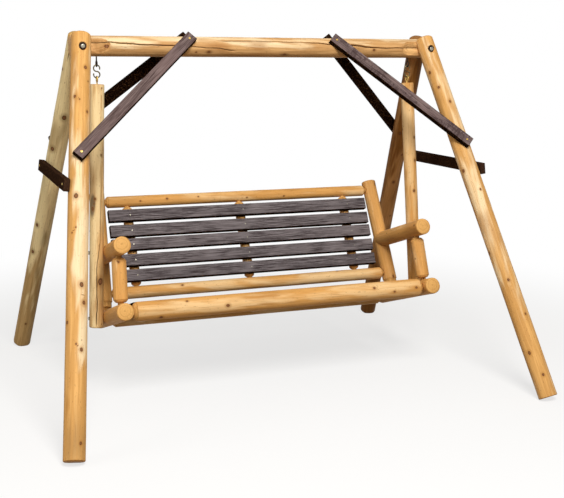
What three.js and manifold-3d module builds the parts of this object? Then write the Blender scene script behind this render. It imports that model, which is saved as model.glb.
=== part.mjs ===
// Garden porch swing: a log bench hung by two hooks from a log A-frame stand.
// Millimetres, +Z up, +X to the right as seen from in front, -Y towards the front.
// The origin is on the ground, at the middle of the four feet.
import * as THREE from 'three';
import { mergeVertices } from 'three/addons/utils/BufferGeometryUtils.js';
import Module from 'manifold-3d';

const wasm = await Module();
wasm.setup();

// ---------------------------------------------------------------- driving sizes

// Fits that every piece shares.
const SEAT_GAP = 0.3; // between faces that bear on each other
const TENON_GAP = 0.5; // all round a tenon in its mortise
const BOLT_GAP = 0.6; // all round a bolt in its hole

// Stand.
const LEG_DIAMETER = 103;
const LEG_DROP = 1800; // from the beam's axis down to the centre of a foot
const LEG_RISE = 57; // the legs run this far above the beam's axis
const FRAME_HALF_WIDTH = 985; // from the middle to the legs, at the beam
const LEG_HEAD_OFFSET = 62; // from the beam's axis to a leg's axis, at the beam
const FRONT_FOOT_X = 1250;
const REAR_FOOT_X = 1190;
const FOOT_Y = 1010;
const FOOT_TRIM = 8; // the low edge of each foot is cut level by this much
const BEAM_DIAMETER = 108;
const BEAM_END_MARGIN = 45; // beam past the centre of the legs
const CHEEK_THICKNESS = 72; // of the beam between the flats that the legs clamp
const CHEEK_LENGTH = 158; // from the centre of the legs to the inner end of a flat
const CHEEK_RUN_OUT = 60; // of that, where the flat curves out of the log

// Dark boards: braces and side ties.
const BRACE_WIDTH = 60;
const BRACE_THICKNESS = 30;
const BRACE_BED = 3; // how deep a brace is let into the logs
const BRACE_BEAM_X = 428; // where a brace meets the beam
const LEFT_BRACE_DROP = 528; // where it meets the leg, below the beam's axis
const RIGHT_BRACE_DROP = 522;
const BRACE_UPPER_END = 38; // board past its upper seat
const BRACE_LOWER_END = 30; // board past its lower seat
const TIE_DROP = 655; // side tie below the beam's axis
const TIE_END = 43; // board past the axis of each leg

// Stand bolts.
const LEG_BOLT_DIAMETER = 12;
const LEG_BOLT_HEX = 19; // across the flats
const LEG_BOLT_HEAD = 8;
const WASHER_DIAMETER = 38;
const WASHER_THICKNESS = 3;
const WASHER_POCKET_DEPTH = 15; // below the face of the leg
const WASHER_POCKET_MARGIN = 2;
const NUT_FLANGE_DIAMETER = 27;
const NUT_FLANGE_THICKNESS = 2.5;
const NUT_HEIGHT = 11;
const BOLT_TAIL = 5; // of the bolt past its nut

// Hooks and screw eyes.
const WIRE_DIAMETER = 7;
const EYE_RING_DIAMETER = 36; // outside
const BEAM_EYE_STEM = 16; // shown between the beam and the ring
const HANGER_EYE_STEM = 8;
const EYE_THREAD_LENGTH = 55;
const HOOK_PITCH = 64; // between the two bearing points of a hook
const HOOK_TIP_ANGLE = 25; // degrees that each tip runs past half a turn

// Side frames of the bench, measured in the bench's own frame: X across, Y rearward
// along the side rails, Z square to them, from the front end of the rails.
const RAIL_DIAMETER = 92;
const RAIL_LENGTH = 642;
const RAIL_HALF_SPACING = 870;
const SIDE_SPLAY = 2.5; // degrees that both sides lean in towards the top
const ARM_HEIGHT = 335;
const ARM_FRONT = 4;
const ARM_POST_DIAMETER = 78;
const ARM_POST_Y = 100;
const ARM_TENON_DIAMETER = 34;
const ARM_TENON_SHOWN = 8; // of each tenon of an arm post, outside the log it enters
const ARM_TENON_DEPTH = 32;
const BACK_POST_DIAMETER = 86;
const BACK_POST_Y = 504; // at its lower shoulder
const BACK_POST_LENGTH = 622;
const FOOT_TENON_DIAMETER = 40; // at the lower end of a back post
const FOOT_TENON_SHOWN = 39;
const FOOT_TENON_DEPTH = 36;
const FOOT_STEP = 4; // the square cut in from the post down to its rough foot
const FOOT_COLLAR_LENGTH = 27; // of that rough foot, between the post and its tenon
const BACK_RECLINE = 8; // degrees past square to the rails
const HANGER_DIAMETER = 76;
const HANGER_LENGTH = 1260;
const HANGER_FOOT_Y = 370;
const HANGER_FOOT_Z = -46;
const RIGHT_HANGER_TRIM = 20; // the right hanger is cut this much shorter at its foot
const HANGER_LEAN = 13.9; // degrees forward of square to the rails
const SADDLE_DEPTH = 7; // of the notches where a hanger clasps arm and rail

// Cross logs of the bench.
const FRONT_LOG_DIAMETER = 102;
const REAR_LOG_DIAMETER = 112;
const REAR_LOG_RISE = 7; // of its axis above the axis of the side rails
const CROSS_LOG_INSET = 62; // from each end of the side rails
const CROSS_TENON_DIAMETER = 38;
const CROSS_TENON_LENGTH = 54;
const TOP_RAIL_DIAMETER = 66;
const TOP_RAIL_UP = 567; // along the back post from its lower shoulder
const LOW_RAIL_DIAMETER = 70;
const LOW_RAIL_UP = 46;
const BACK_TENON_DIAMETER = 36;
const BACK_TENON_LENGTH = 44;
const SHOULDER_GAP = 3; // between a shoulder and the log that it meets

// Back and seat boards with the poles under them.
const POLE_DIAMETER = 58;
const POLE_TENON_DIAMETER = 26;
const POLE_TENON_LENGTH = 32;
const POLE_FLAT = 3; // planed off where the boards lie
const POLE_SPACING = 662;
const BOARD_WIDTH = 67; // of the slats
const BOARD_THICKNESS = 34;
const BOARD_EDGE = 1.5; // eased, on every board
const BOARD_SHIFT = -18; // the boards lie a little to one side
const SLAT_END_GAP = 42; // from a slat's end to the side rail's face, were it centred
const BACK_SLAT_LOWEST = 129; // centre of the lowest slat, up the back
const BACK_SLAT_GAPS = [19, 22, 12, 21]; // from the lowest pair up, spaced by eye
const SEAT_SLAT_COUNT = 5;
const SEAT_SLAT_PITCH = 84;
const SEAT_SLAT_FIRST = 155;
const SEAT_POLE_SINK = 8; // axis of the seat poles under the axis of the rails

// Lag bolts that hold the hangers.
const LAG_DIAMETER = 10;
const LAG_HEX = 16;
const LAG_HEAD = 7;
const LAG_LENGTH = 105;
const LAG_FLAT = 2.5; // spot-faced into the hanger
const LAG_FLAT_DIAMETER = 24;

// Easing of log ends and shoulders.
const END_CHAMFER = 3.5;
const HEAD_CHAMFER = 11; // at the heads of the legs
const SHOULDER_TAPER = 0.37; // of a log's radius, how wide and how long its shoulder tapers

// Facets round a piece.
const LOG_FACETS = 24;
const POLE_FACETS = 16;
const TENON_FACETS = 10;
const RUN_OUT_FACETS = 48;
const WIRE_FACETS = 8;
const RING_FACETS = 16;
const HOOK_STEPS = 24;

// Densities, only their ratio matters, for the angle at which the bench hangs.
const WOOD_DENSITY = 0.6;
const STEEL_DENSITY = 7.85;

// ---------------------------------------------------------------- materials

const metalness = 0;
const peeledLog = new THREE.MeshStandardMaterial({ color: 0xd9a05a, roughness: 0.55, metalness });
const paleLog = new THREE.MeshStandardMaterial({ color: 0xe2b878, roughness: 0.6, metalness });
const darkBoard = new THREE.MeshStandardMaterial({ color: 0x4a3a38, roughness: 0.7, metalness });
const blackSteel = new THREE.MeshStandardMaterial({ color: 0x26221f, roughness: 0.5, metalness: 1 });
const zincSteel = new THREE.MeshStandardMaterial({ color: 0xb9ab86, roughness: 0.35, metalness: 1 });

// ---------------------------------------------------------------- solids and meshes

const UP = new THREE.Vector3(0, 0, 1);
const ACROSS = new THREE.Vector3(1, 0, 0);
const REARWARD = new THREE.Vector3(0, 1, 0);
const vec = (x, y, z) => new THREE.Vector3(x, y, z);
const radians = THREE.MathUtils.degToRad;
const tan = (degrees) => Math.tan(radians(degrees));
const REACH = 4000; // longer than anything here, for cutters that run right through

// A closed three.js geometry as a solid, with its shared vertices merged.
function solidOf(geometry) {
  const bare = geometry.clone();
  bare.deleteAttribute('normal');
  bare.deleteAttribute('uv');
  const merged = mergeVertices(bare, 1e-3);
  const corners = merged.getIndex().array;
  const triangles = [];
  for (let i = 0; i < corners.length; i += 3) {
    const [a, b, c] = corners.subarray(i, i + 3);
    if (a !== b && b !== c && c !== a) triangles.push(a, b, c);
  }
  const vertProperties = new Float32Array(merged.getAttribute('position').array);
  const triVerts = new Uint32Array(triangles);
  return new wasm.Manifold(new wasm.Mesh({ numProp: 3, vertProperties, triVerts }));
}

function namedMesh(name, solid, material) {
  const { vertProperties, triVerts } = solid.getMesh();
  const geometry = new THREE.BufferGeometry();
  geometry.setAttribute('position', new THREE.BufferAttribute(vertProperties, 3));
  geometry.setIndex(new THREE.BufferAttribute(triVerts, 1));
  geometry.computeVertexNormals();
  const mesh = new THREE.Mesh(geometry, material);
  mesh.name = name;
  return mesh;
}

const cutAll = (solid, cutters) => cutters.reduce((rest, cutter) => rest.subtract(cutter), solid);

// The turn and place that lay local +Z along a direction, starting at a point.
function alongMatrix(start, direction) {
  const turn = new THREE.Quaternion().setFromUnitVectors(UP, direction.clone().normalize());
  return new THREE.Matrix4().compose(start, turn, vec(1, 1, 1));
}

// A turned piece: [radius, height] pairs from its lower to its upper pole.
function turned(profile, facets, start, direction) {
  const points = profile.map(([radius, height]) => new THREE.Vector2(radius, height));
  const geometry = new THREE.LatheGeometry(points, facets).rotateX(Math.PI / 2);
  return solidOf(geometry.applyMatrix4(alongMatrix(start, direction)));
}

// A rod between two points; a bore is a rod whose flats lie at its radius.
function rod(start, end, radius, facets = TENON_FACETS) {
  const length = start.distanceTo(end);
  const direction = end.clone().sub(start);
  return turned([[0, 0], [radius, 0], [radius, length], [0, length]], facets, start, direction);
}

function bore(start, end, radius, facets = TENON_FACETS) {
  return rod(start, end, radius / Math.cos(Math.PI / facets), facets);
}

// One end of a log's profile, growing upwards from height 0: a sawn end with a chamfer,
// or the tapered shoulder of a tenon.
function endProfile(radius, tenon, chamfer = END_CHAMFER) {
  if (!tenon) return [[0, 0], [radius - chamfer, 0], [radius, chamfer]];
  const taper = tenon.taper ?? Math.min(SHOULDER_TAPER * radius, radius - tenon.diameter / 2);
  const knee = 0.38 * taper; // a straight cone would have it at half
  return [[0, 0], [radius - taper, 0], [radius - knee, knee], [radius, taper]];
}

// A log between two points, each the middle of a sawn end or of a tenon's shoulder.
function log({ start, end, diameter, startTenon, endTenon, endChamfer, facets = LOG_FACETS }) {
  const length = start.distanceTo(end);
  const direction = end.clone().sub(start).normalize();
  const lower = endProfile(diameter / 2, startTenon);
  const upper = endProfile(diameter / 2, endTenon, endChamfer).reverse();
  const profile = [...lower, ...upper.map(([radius, height]) => [radius, length - height])];
  const stem = turned(profile, facets, start, direction);
  const tenons = [[startTenon, start, -1], [endTenon, end, 1]].filter(([tenon]) => tenon);
  return tenons.reduce((whole, [tenon, shoulder, way]) => {
    const root = shoulder.clone().addScaledVector(direction, -way);
    const tip = shoulder.clone().addScaledVector(direction, way * tenon.length);
    return whole.add(rod(root, tip, tenon.diameter / 2));
  }, stem);
}

// A board with eased edges: its middle, its length direction and its outward face.
function board({ middle, along, face, length, width = BOARD_WIDTH, thickness = BOARD_THICKNESS, grow = 0 }) {
  const edge = grow > 0 ? 0 : BOARD_EDGE;
  const halfLength = length / 2 + grow - edge;
  const halfWidth = width / 2 + grow - edge;
  const outline = new THREE.Shape();
  outline.moveTo(-halfLength, -halfWidth);
  outline.lineTo(halfLength, -halfWidth);
  outline.lineTo(halfLength, halfWidth);
  outline.lineTo(-halfLength, halfWidth);
  outline.closePath();
  const depth = thickness + 2 * grow - 2 * edge;
  const bevel = { bevelEnabled: edge > 0, bevelSize: edge, bevelThickness: edge, bevelSegments: 1 };
  const geometry = new THREE.ExtrudeGeometry(outline, { depth, ...bevel });
  geometry.translate(0, 0, -depth / 2);
  const x = along.clone().normalize();
  const z = face.clone().addScaledVector(x, -face.dot(x)).normalize();
  const y = z.clone().cross(x);
  const place = new THREE.Matrix4().makeBasis(x, y, z).setPosition(middle);
  return solidOf(geometry.applyMatrix4(place));
}

function hexPrism(acrossFlats, start, end) {
  return bore(start, end, acrossFlats / 2, 6);
}

// ---------------------------------------------------------------- stand: lines and levels

const legRadius = LEG_DIAMETER / 2;
const beamRadius = BEAM_DIAMETER / 2;
const legLean = Math.atan2(FOOT_Y - LEG_HEAD_OFFSET, LEG_DROP); // in side view
const cheek = CHEEK_THICKNESS / 2;

// Direction of a leg from its foot to its head; end is -1 in front and +1 behind.
function legDirection(side, end) {
  const footX = end < 0 ? FRONT_FOOT_X : REAR_FOOT_X;
  const spread = vec(side * (FRAME_HALF_WIDTH - footX), end * (LEG_HEAD_OFFSET - FOOT_Y), LEG_DROP);
  return spread.normalize();
}

// The centre of a foot stands so high that the sawn end's low edge is trimmed by FOOT_TRIM.
const footCentre = legRadius * Math.sqrt(1 - legDirection(1, -1).z ** 2) - FOOT_TRIM;
const beamHeight = footCentre + LEG_DROP;

// A point on a leg's axis, so far below the beam's axis.
function onLeg(side, end, drop) {
  const direction = legDirection(side, end);
  const head = vec(side * FRAME_HALF_WIDTH, end * LEG_HEAD_OFFSET, beamHeight);
  return head.addScaledVector(direction, -drop / direction.z);
}

// The stand's sloping front (end -1) or rear (end +1) faces this way.
const slopeFace = (end) => vec(0, end * Math.cos(legLean), Math.sin(legLean));

const braceStock = (place) => board({ ...place, width: BRACE_WIDTH, thickness: BRACE_THICKNESS });

// A brace's board, from its seat on the beam to its seat on the leg.
function braceBoard(side, end, grow = 0) {
  const outward = slopeFace(end);
  const upper = vec(side * BRACE_BEAM_X, 0, beamHeight).addScaledVector(outward, beamRadius);
  const lower = onLeg(side, end, side < 0 ? LEFT_BRACE_DROP : RIGHT_BRACE_DROP).addScaledVector(outward, legRadius);
  const along = upper.clone().sub(lower);
  const length = along.length() + BRACE_UPPER_END + BRACE_LOWER_END;
  along.normalize();
  const face = outward.clone().addScaledVector(along, -outward.dot(along)).normalize();
  const middle = upper.clone().add(lower).multiplyScalar(0.5);
  middle.addScaledVector(along, (BRACE_UPPER_END - BRACE_LOWER_END) / 2);
  middle.addScaledVector(face, BRACE_THICKNESS / 2 - BRACE_BED);
  return braceStock({ middle, along, face, length, grow });
}

// A side tie's board, across the outside of the two legs of one A-frame.
function tieBoard(side, grow = 0) {
  const front = onLeg(side, -1, TIE_DROP);
  const rear = onLeg(side, 1, TIE_DROP);
  const along = rear.clone().sub(front);
  const slope = onLeg(side, -1, 0).add(onLeg(side, 1, 0)).sub(front).sub(rear);
  const face = along.clone().cross(slope).normalize().multiplyScalar(-side);
  if (face.x * side < 0) face.negate();
  const length = along.length() + 2 * TIE_END;
  const middle = front.clone().add(rear).multiplyScalar(0.5);
  middle.addScaledVector(face, legRadius + BRACE_THICKNESS / 2 - BRACE_BED);
  return braceStock({ middle, along, face, length, grow });
}

// ---------------------------------------------------------------- stand: pieces

// Where the washers of a leg bolt bear, and the bolt's axis.
const legFaceReach = LEG_HEAD_OFFSET + legRadius / Math.cos(legLean);
const washerSeat = legFaceReach - WASHER_POCKET_DEPTH;
const boltPoint = (side, y) => vec(side * FRAME_HALF_WIDTH, y, beamHeight);

function legBoltHole(side) {
  return bore(boltPoint(side, -REACH), boltPoint(side, REACH), LEG_BOLT_DIAMETER / 2 + BOLT_GAP);
}

function washerPocket(side, end) {
  const [bottom, mouth] = [washerSeat, REACH].map((y) => boltPoint(side, end * y));
  return bore(bottom, mouth, WASHER_DIAMETER / 2 + WASHER_POCKET_MARGIN, LOG_FACETS);
}

// A leg: square-sawn, its foot trimmed level, its head bevelled upright against the
// beam's flat, pocketed for the washer, and let in a little for brace and tie.
function leg(side, end) {
  const start = onLeg(side, end, LEG_DROP);
  const finish = onLeg(side, end, -LEG_RISE);
  const blank = log({ start, end: finish, diameter: LEG_DIAMETER, endChamfer: HEAD_CHAMFER });
  const ground = solidOf(new THREE.BoxGeometry(REACH, REACH, REACH).translate(0, 0, -REACH / 2));
  const boards = [braceBoard(side, end, SEAT_GAP), tieBoard(side, SEAT_GAP)];
  return cutAll(blank, [ground, headBevel(end), legBoltHole(side), washerPocket(side, end), ...boards]);
}

// The upright cut on the inner side of a leg's head.
function headBevel(end) {
  const block = new THREE.BoxGeometry(REACH, REACH, LEG_DROP);
  block.translate(0, end * (cheek + SEAT_GAP - REACH / 2), beamHeight);
  return solidOf(block);
}

// One flat of the beam, whose inner end curves out of the log; face is -1 in front, +1 behind.
function beamFlat(side, face) {
  const depth = beamRadius - cheek;
  const sweep = (CHEEK_RUN_OUT ** 2 + depth ** 2) / (2 * depth); // radius of the run-out
  const flatEnd = side * (FRAME_HALF_WIDTH - CHEEK_LENGTH + CHEEK_RUN_OUT);
  const [below, above] = [-1, 1].map((way) =>
    vec(flatEnd, face * (cheek + sweep), beamHeight + way * BEAM_DIAMETER));
  const runOut = bore(below, above, sweep, RUN_OUT_FACETS);
  const block = new THREE.BoxGeometry(REACH, REACH, REACH);
  block.translate(flatEnd + (side * REACH) / 2, face * (cheek + REACH / 2), beamHeight);
  return runOut.add(solidOf(block));
}

function topBeam() {
  const half = FRAME_HALF_WIDTH + BEAM_END_MARGIN;
  const [start, end] = [-half, half].map((x) => vec(x, 0, beamHeight));
  const blank = log({ start, end, diameter: BEAM_DIAMETER });
  const cutters = [];
  for (const side of [-1, 1]) {
    cutters.push(legBoltHole(side), eyePilot(beamEye(side)));
    for (const face of [-1, 1]) cutters.push(beamFlat(side, face), braceBoard(side, face, SEAT_GAP));
  }
  return cutAll(blank, cutters);
}

function legBolt(side) {
  const headSeat = washerSeat + WASHER_THICKNESS + 2 * SEAT_GAP;
  const nutTop = washerSeat + NUT_HEIGHT + SEAT_GAP;
  const at = (y) => boltPoint(side, y);
  const head = hexPrism(LEG_BOLT_HEX, at(-headSeat - LEG_BOLT_HEAD), at(-headSeat));
  const shank = rod(at(-headSeat - 1), at(nutTop + BOLT_TAIL), LEG_BOLT_DIAMETER / 2);
  return head.add(shank);
}

function legWasher(side) {
  const front = boltPoint(side, -washerSeat - SEAT_GAP - WASHER_THICKNESS);
  const back = boltPoint(side, -washerSeat - SEAT_GAP);
  return rod(front, back, WASHER_DIAMETER / 2).subtract(legBoltHole(side));
}

// A flange nut behind the rear leg.
function legNut(side) {
  const seat = washerSeat + SEAT_GAP;
  const at = (height) => boltPoint(side, seat + height);
  const flange = rod(at(0), at(NUT_FLANGE_THICKNESS), NUT_FLANGE_DIAMETER / 2);
  const hex = hexPrism(LEG_BOLT_HEX, at(0), at(NUT_HEIGHT));
  return flange.add(hex).subtract(legBoltHole(side));
}

// ---------------------------------------------------------------- eyes and hooks

const wireRadius = WIRE_DIAMETER / 2;
const ringRadius = (EYE_RING_DIAMETER - WIRE_DIAMETER) / 2;
const wireSpan = WIRE_DIAMETER + SEAT_GAP; // between the centres of two wires that bear

// A screw eye: seat is where its stem leaves the wood, direction points to its ring.
function eyeRingCentre({ seat, direction, stem }) {
  return seat.clone().addScaledVector(direction, stem + EYE_RING_DIAMETER / 2);
}

function screwEye(eye) {
  const centre = eyeRingCentre(eye);
  const ring = new THREE.TorusGeometry(ringRadius, wireRadius, WIRE_FACETS, RING_FACETS);
  ring.rotateY(Math.PI / 2).rotateX(-Math.atan2(eye.direction.y, eye.direction.z));
  ring.translate(centre.x, centre.y, centre.z);
  const tip = eye.seat.clone().addScaledVector(eye.direction, -EYE_THREAD_LENGTH);
  const neck = centre.clone().addScaledVector(eye.direction, -ringRadius);
  const length = tip.distanceTo(neck);
  const profile = [[0, 0], [wireRadius, 2 * WIRE_DIAMETER], [wireRadius, length], [0, length]];
  return solidOf(ring).add(turned(profile, 2 * WIRE_FACETS, tip, eye.direction));
}

function eyePilot({ seat, direction }) {
  const bottom = seat.clone().addScaledVector(direction, -EYE_THREAD_LENGTH - BOLT_GAP);
  const mouth = seat.clone().addScaledVector(direction, END_CHAMFER);
  return bore(bottom, mouth, wireRadius + BOLT_GAP, 2 * WIRE_FACETS);
}

// An eye screwed up into the beam, with its ring in the plane of the swing.
function beamEye(side) {
  const seat = vec(side * hangX, 0, beamHeight - beamRadius);
  return { seat, direction: vec(0, 0, -1), stem: BEAM_EYE_STEM };
}

// A hook: two arcs of wire that meet at its middle, in the plane of the beam.
class HookCurve extends THREE.Curve {
  getPoint(t) {
    const radius = HOOK_PITCH / 4;
    const turn = radians(270 + HOOK_TIP_ANGLE);
    const upper = t < 0.5;
    const swept = upper ? turn * (1 - 2 * t) : turn * (2 * t - 1);
    const x = -radius * Math.sin(swept);
    const z = radius * (1 - Math.cos(swept));
    return upper ? vec(x, 0, z) : vec(-x, 0, -z);
  }
}

function hook(side) {
  const section = new THREE.Shape().absarc(0, 0, wireRadius, 0, 2 * Math.PI);
  const options = { steps: HOOK_STEPS, extrudePath: new HookCurve(), curveSegments: WIRE_FACETS / 2 };
  const geometry = new THREE.ExtrudeGeometry(section, { ...options, bevelEnabled: false });
  return solidOf(geometry.translate(side * hangX, 0, hookTop - HOOK_PITCH / 2));
}

// ---------------------------------------------------------------- bench: lines and levels

const railRadius = RAIL_DIAMETER / 2;
const hangerRadius = HANGER_DIAMETER / 2;
const backRadius = BACK_POST_DIAMETER / 2;
const hangerOffset = railRadius + hangerRadius - SADDLE_DEPTH; // outside of the rails
const backSlope = vec(0, Math.sin(radians(BACK_RECLINE)), Math.cos(radians(BACK_RECLINE)));
const backFace = vec(0, -backSlope.z, backSlope.y);
const armPostBottom = railRadius + ARM_TENON_SHOWN;
const armPostTop = ARM_HEIGHT - armPostBottom;
const backPostBottom = railRadius + FOOT_TENON_SHOWN;

// A point of a side frame: both sides lean in, so x follows the height.
function onSide(side, y, z, outward = 0) {
  return vec(side * (RAIL_HALF_SPACING + outward - z * tan(SIDE_SPLAY)), y, z);
}

// A point of the reclined back, so far up the back posts from their lower shoulders.
function onBack(x, up, forward = 0) {
  const foot = vec(x, BACK_POST_Y, backPostBottom);
  return foot.addScaledVector(backSlope, up).addScaledVector(backFace, forward);
}

function onBackPost(side, up) {
  const { y, z } = onBack(0, up);
  return onSide(side, y, z);
}

function onHanger(side, up) {
  const lean = radians(HANGER_LEAN);
  const y = HANGER_FOOT_Y - up * Math.sin(lean);
  const z = HANGER_FOOT_Z + up * Math.cos(lean);
  return onSide(side, y, z, hangerOffset);
}

const hangX = onHanger(1, HANGER_LENGTH).x;
const beamRingHeight = beamHeight - beamRadius - BEAM_EYE_STEM - EYE_RING_DIAMETER / 2;
const hookTop = beamRingHeight - ringRadius + wireSpan;
const hookFoot = hookTop - HOOK_PITCH;

// The eye in the top of a hanger.
function hangerEye(side) {
  const seat = onHanger(side, HANGER_LENGTH);
  const direction = seat.clone().sub(onHanger(side, 0));
  direction.x = 0;
  return { seat, direction: direction.normalize(), stem: HANGER_EYE_STEM };
}

// ---------------------------------------------------------------- bench: logs

const armPostTenon = { diameter: ARM_TENON_DIAMETER, length: ARM_TENON_SHOWN + ARM_TENON_DEPTH };
const backPostTenon = {
  diameter: FOOT_TENON_DIAMETER,
  length: FOOT_TENON_SHOWN + FOOT_TENON_DEPTH,
  taper: FOOT_STEP,
};
const crossTenon = { diameter: CROSS_TENON_DIAMETER, length: CROSS_TENON_LENGTH };
const backTenon = { diameter: BACK_TENON_DIAMETER, length: BACK_TENON_LENGTH };
const poleTenon = { diameter: POLE_TENON_DIAMETER, length: POLE_TENON_LENGTH };

// The mortise of a tenon: from just inside the shoulder to past the tenon's end.
function mortise(shoulder, into, tenon) {
  const direction = into.clone().normalize();
  const mouth = shoulder.clone().addScaledVector(direction, -SHOULDER_GAP);
  const bottom = shoulder.clone().addScaledVector(direction, tenon.length + TENON_GAP);
  return bore(mouth, bottom, tenon.diameter / 2 + TENON_GAP);
}

const armPostEnds = (side) => [armPostBottom, armPostTop].map((z) => onSide(side, ARM_POST_Y, z));
const backPostEnds = (side) => [onBackPost(side, 0), onBackPost(side, BACK_POST_LENGTH)];
const downPost = (ends) => ends[0].clone().sub(ends[1]);
const upPost = (ends) => ends[1].clone().sub(ends[0]);

// A cross log's shoulder at one side, square to X.
function crossEnd(side, y, z, faceX) {
  return vec(side * (faceX - SHOULDER_GAP), y, z);
}

const railFaceX = RAIL_HALF_SPACING - railRadius / Math.cos(radians(SIDE_SPLAY));
const frontLogEnd = (side) => crossEnd(side, CROSS_LOG_INSET, 0, railFaceX);
const rearLogEnd = (side) => crossEnd(side, RAIL_LENGTH - CROSS_LOG_INSET, REAR_LOG_RISE, railFaceX);

function backRailEnd(side, up) {
  const centre = onBackPost(1, up);
  return crossEnd(side, centre.y, centre.z, centre.x - backRadius / Math.cos(radians(SIDE_SPLAY)));
}

const sideways = (side) => vec(side, 0, 0);

function sideRail(side) {
  const [start, end] = [0, RAIL_LENGTH].map((y) => onSide(side, y, 0));
  const blank = log({ start, end, diameter: RAIL_DIAMETER });
  return cutAll(blank, [
    mortise(armPostEnds(side)[0], downPost(armPostEnds(side)), armPostTenon),
    mortise(backPostEnds(side)[0], downPost(backPostEnds(side)), backPostTenon),
    mortise(frontLogEnd(side), sideways(side), crossTenon),
    mortise(rearLogEnd(side), sideways(side), crossTenon),
    lagHole(side, 0),
  ]);
}

// An armrest, coped at the rear to the back post that it is screwed to.
function armrest(side) {
  const postUp = (ARM_HEIGHT - backPostBottom) / backSlope.z;
  const postCentre = onBackPost(side, postUp);
  const rearEnd = postCentre.y - backRadius / 3;
  const [start, end] = [ARM_FRONT, rearEnd].map((y) => onSide(side, y, ARM_HEIGHT));
  const blank = log({ start, end, diameter: RAIL_DIAMETER });
  const [foot, head] = backPostEnds(side);
  return cutAll(blank, [
    bore(foot, head, backRadius + SEAT_GAP, LOG_FACETS),
    mortise(armPostEnds(side)[1], upPost(armPostEnds(side)), armPostTenon),
    lagHole(side, ARM_HEIGHT),
  ]);
}

function armPost(side) {
  const [start, end] = armPostEnds(side);
  const tenons = { startTenon: armPostTenon, endTenon: armPostTenon };
  return log({ start, end, diameter: ARM_POST_DIAMETER, facets: POLE_FACETS, ...tenons });
}

// A back post, with a rough foot stepped in below its square-cut lower end.
function backPost(side) {
  const [start, end] = backPostEnds(side);
  const blank = log({ start, end, diameter: BACK_POST_DIAMETER, startTenon: backPostTenon });
  const collarEnd = onBackPost(side, -FOOT_COLLAR_LENGTH);
  const collar = rod(collarEnd, onBackPost(side, FOOT_STEP), backRadius - FOOT_STEP, POLE_FACETS);
  const railEnds = [TOP_RAIL_UP, LOW_RAIL_UP].map((up) => backRailEnd(side, up));
  const sockets = railEnds.map((railEnd) => mortise(railEnd, sideways(side), backTenon));
  return cutAll(blank.add(collar), sockets);
}

// A hanger, with saddle notches that clasp the armrest and the side rail.
function hanger(side) {
  const top = onHanger(side, HANGER_LENGTH);
  const foot = onHanger(side, side > 0 ? RIGHT_HANGER_TRIM : 0);
  const blank = log({ start: foot, end: top, diameter: HANGER_DIAMETER });
  const saddles = [0, ARM_HEIGHT].map((z) =>
    bore(onSide(side, -REACH, z), onSide(side, REACH, z), railRadius + SEAT_GAP, LOG_FACETS));
  const lags = [0, ARM_HEIGHT].flatMap((z) => [lagHole(side, z), lagSpotFace(side, z)]);
  return cutAll(blank, [...saddles, ...lags, eyePilot(hangerEye(side))]);
}

function crossLog(ends, diameter, tenon, cutters) {
  const tenons = { startTenon: tenon, endTenon: tenon };
  return cutAll(log({ start: ends(-1), end: ends(1), diameter, ...tenons }), cutters);
}

// ---------------------------------------------------------------- bench: lag bolts

// Where a lag bolt goes in: the outside of the hanger, level with an arm or rail.
function lagPoint(side, z, outward) {
  const up = (z - HANGER_FOOT_Z) / Math.cos(radians(HANGER_LEAN));
  return onHanger(side, up).addScaledVector(lagAxis(side), -outward);
}

const lagAxis = (side) => vec(-side * Math.cos(radians(SIDE_SPLAY)), 0, -Math.sin(radians(SIDE_SPLAY)));
const lagSeat = hangerRadius - LAG_FLAT;

function lagHole(side, z) {
  const bottom = lagPoint(side, z, lagSeat - LAG_LENGTH - BOLT_GAP);
  return bore(lagPoint(side, z, REACH), bottom, LAG_DIAMETER / 2 + BOLT_GAP);
}

function lagSpotFace(side, z) {
  return bore(lagPoint(side, z, lagSeat), lagPoint(side, z, 2 * hangerRadius), LAG_FLAT_DIAMETER / 2);
}

function lagBolt(side, z) {
  const seat = lagSeat + SEAT_GAP;
  const head = hexPrism(LAG_HEX, lagPoint(side, z, seat), lagPoint(side, z, seat + LAG_HEAD));
  const start = lagPoint(side, z, seat + 1);
  const length = LAG_LENGTH + 1;
  const radius = LAG_DIAMETER / 2;
  const profile = [[0, 0], [radius, 0], [radius, length - LAG_DIAMETER], [0, length]];
  return head.add(turned(profile, TENON_FACETS, start, lagAxis(side)));
}

// ---------------------------------------------------------------- bench: poles and boards

const poleX = (index) => BOARD_SHIFT + index * POLE_SPACING;
const poleRadius = POLE_DIAMETER / 2;

// Shoulders of an upright pole of the back, between the two back rails.
function backPoleEnds(index) {
  const low = LOW_RAIL_UP + LOW_RAIL_DIAMETER / 2 + SHOULDER_GAP;
  const high = TOP_RAIL_UP - TOP_RAIL_DIAMETER / 2 - SHOULDER_GAP;
  return [onBack(poleX(index), low), onBack(poleX(index), high)];
}

// Shoulders of a seat pole, between the front log and the rear log.
function seatPoleEnds(index) {
  const front = CROSS_LOG_INSET + FRONT_LOG_DIAMETER / 2 + SHOULDER_GAP;
  const rear = RAIL_LENGTH - CROSS_LOG_INSET - REAR_LOG_DIAMETER / 2 - SHOULDER_GAP;
  return [vec(poleX(index), front, -SEAT_POLE_SINK), vec(poleX(index), rear, -SEAT_POLE_SINK)];
}

// A pole with a flat planed along it where the boards lie.
function pole(ends, face) {
  const [start, end] = ends;
  const tenons = { startTenon: poleTenon, endTenon: poleTenon };
  const blank = log({ start, end, diameter: POLE_DIAMETER, facets: POLE_FACETS, ...tenons });
  const middle = start.clone().add(end).multiplyScalar(0.5);
  middle.addScaledVector(face, poleRadius - POLE_FLAT + POLE_DIAMETER / 2);
  const along = end.clone().sub(start);
  const size = { length: along.length() + 2 * SHOULDER_GAP, width: POLE_DIAMETER };
  const plane = board({ middle, along, face, ...size, thickness: POLE_DIAMETER - 1, grow: 0.5 });
  return blank.subtract(plane);
}

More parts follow.
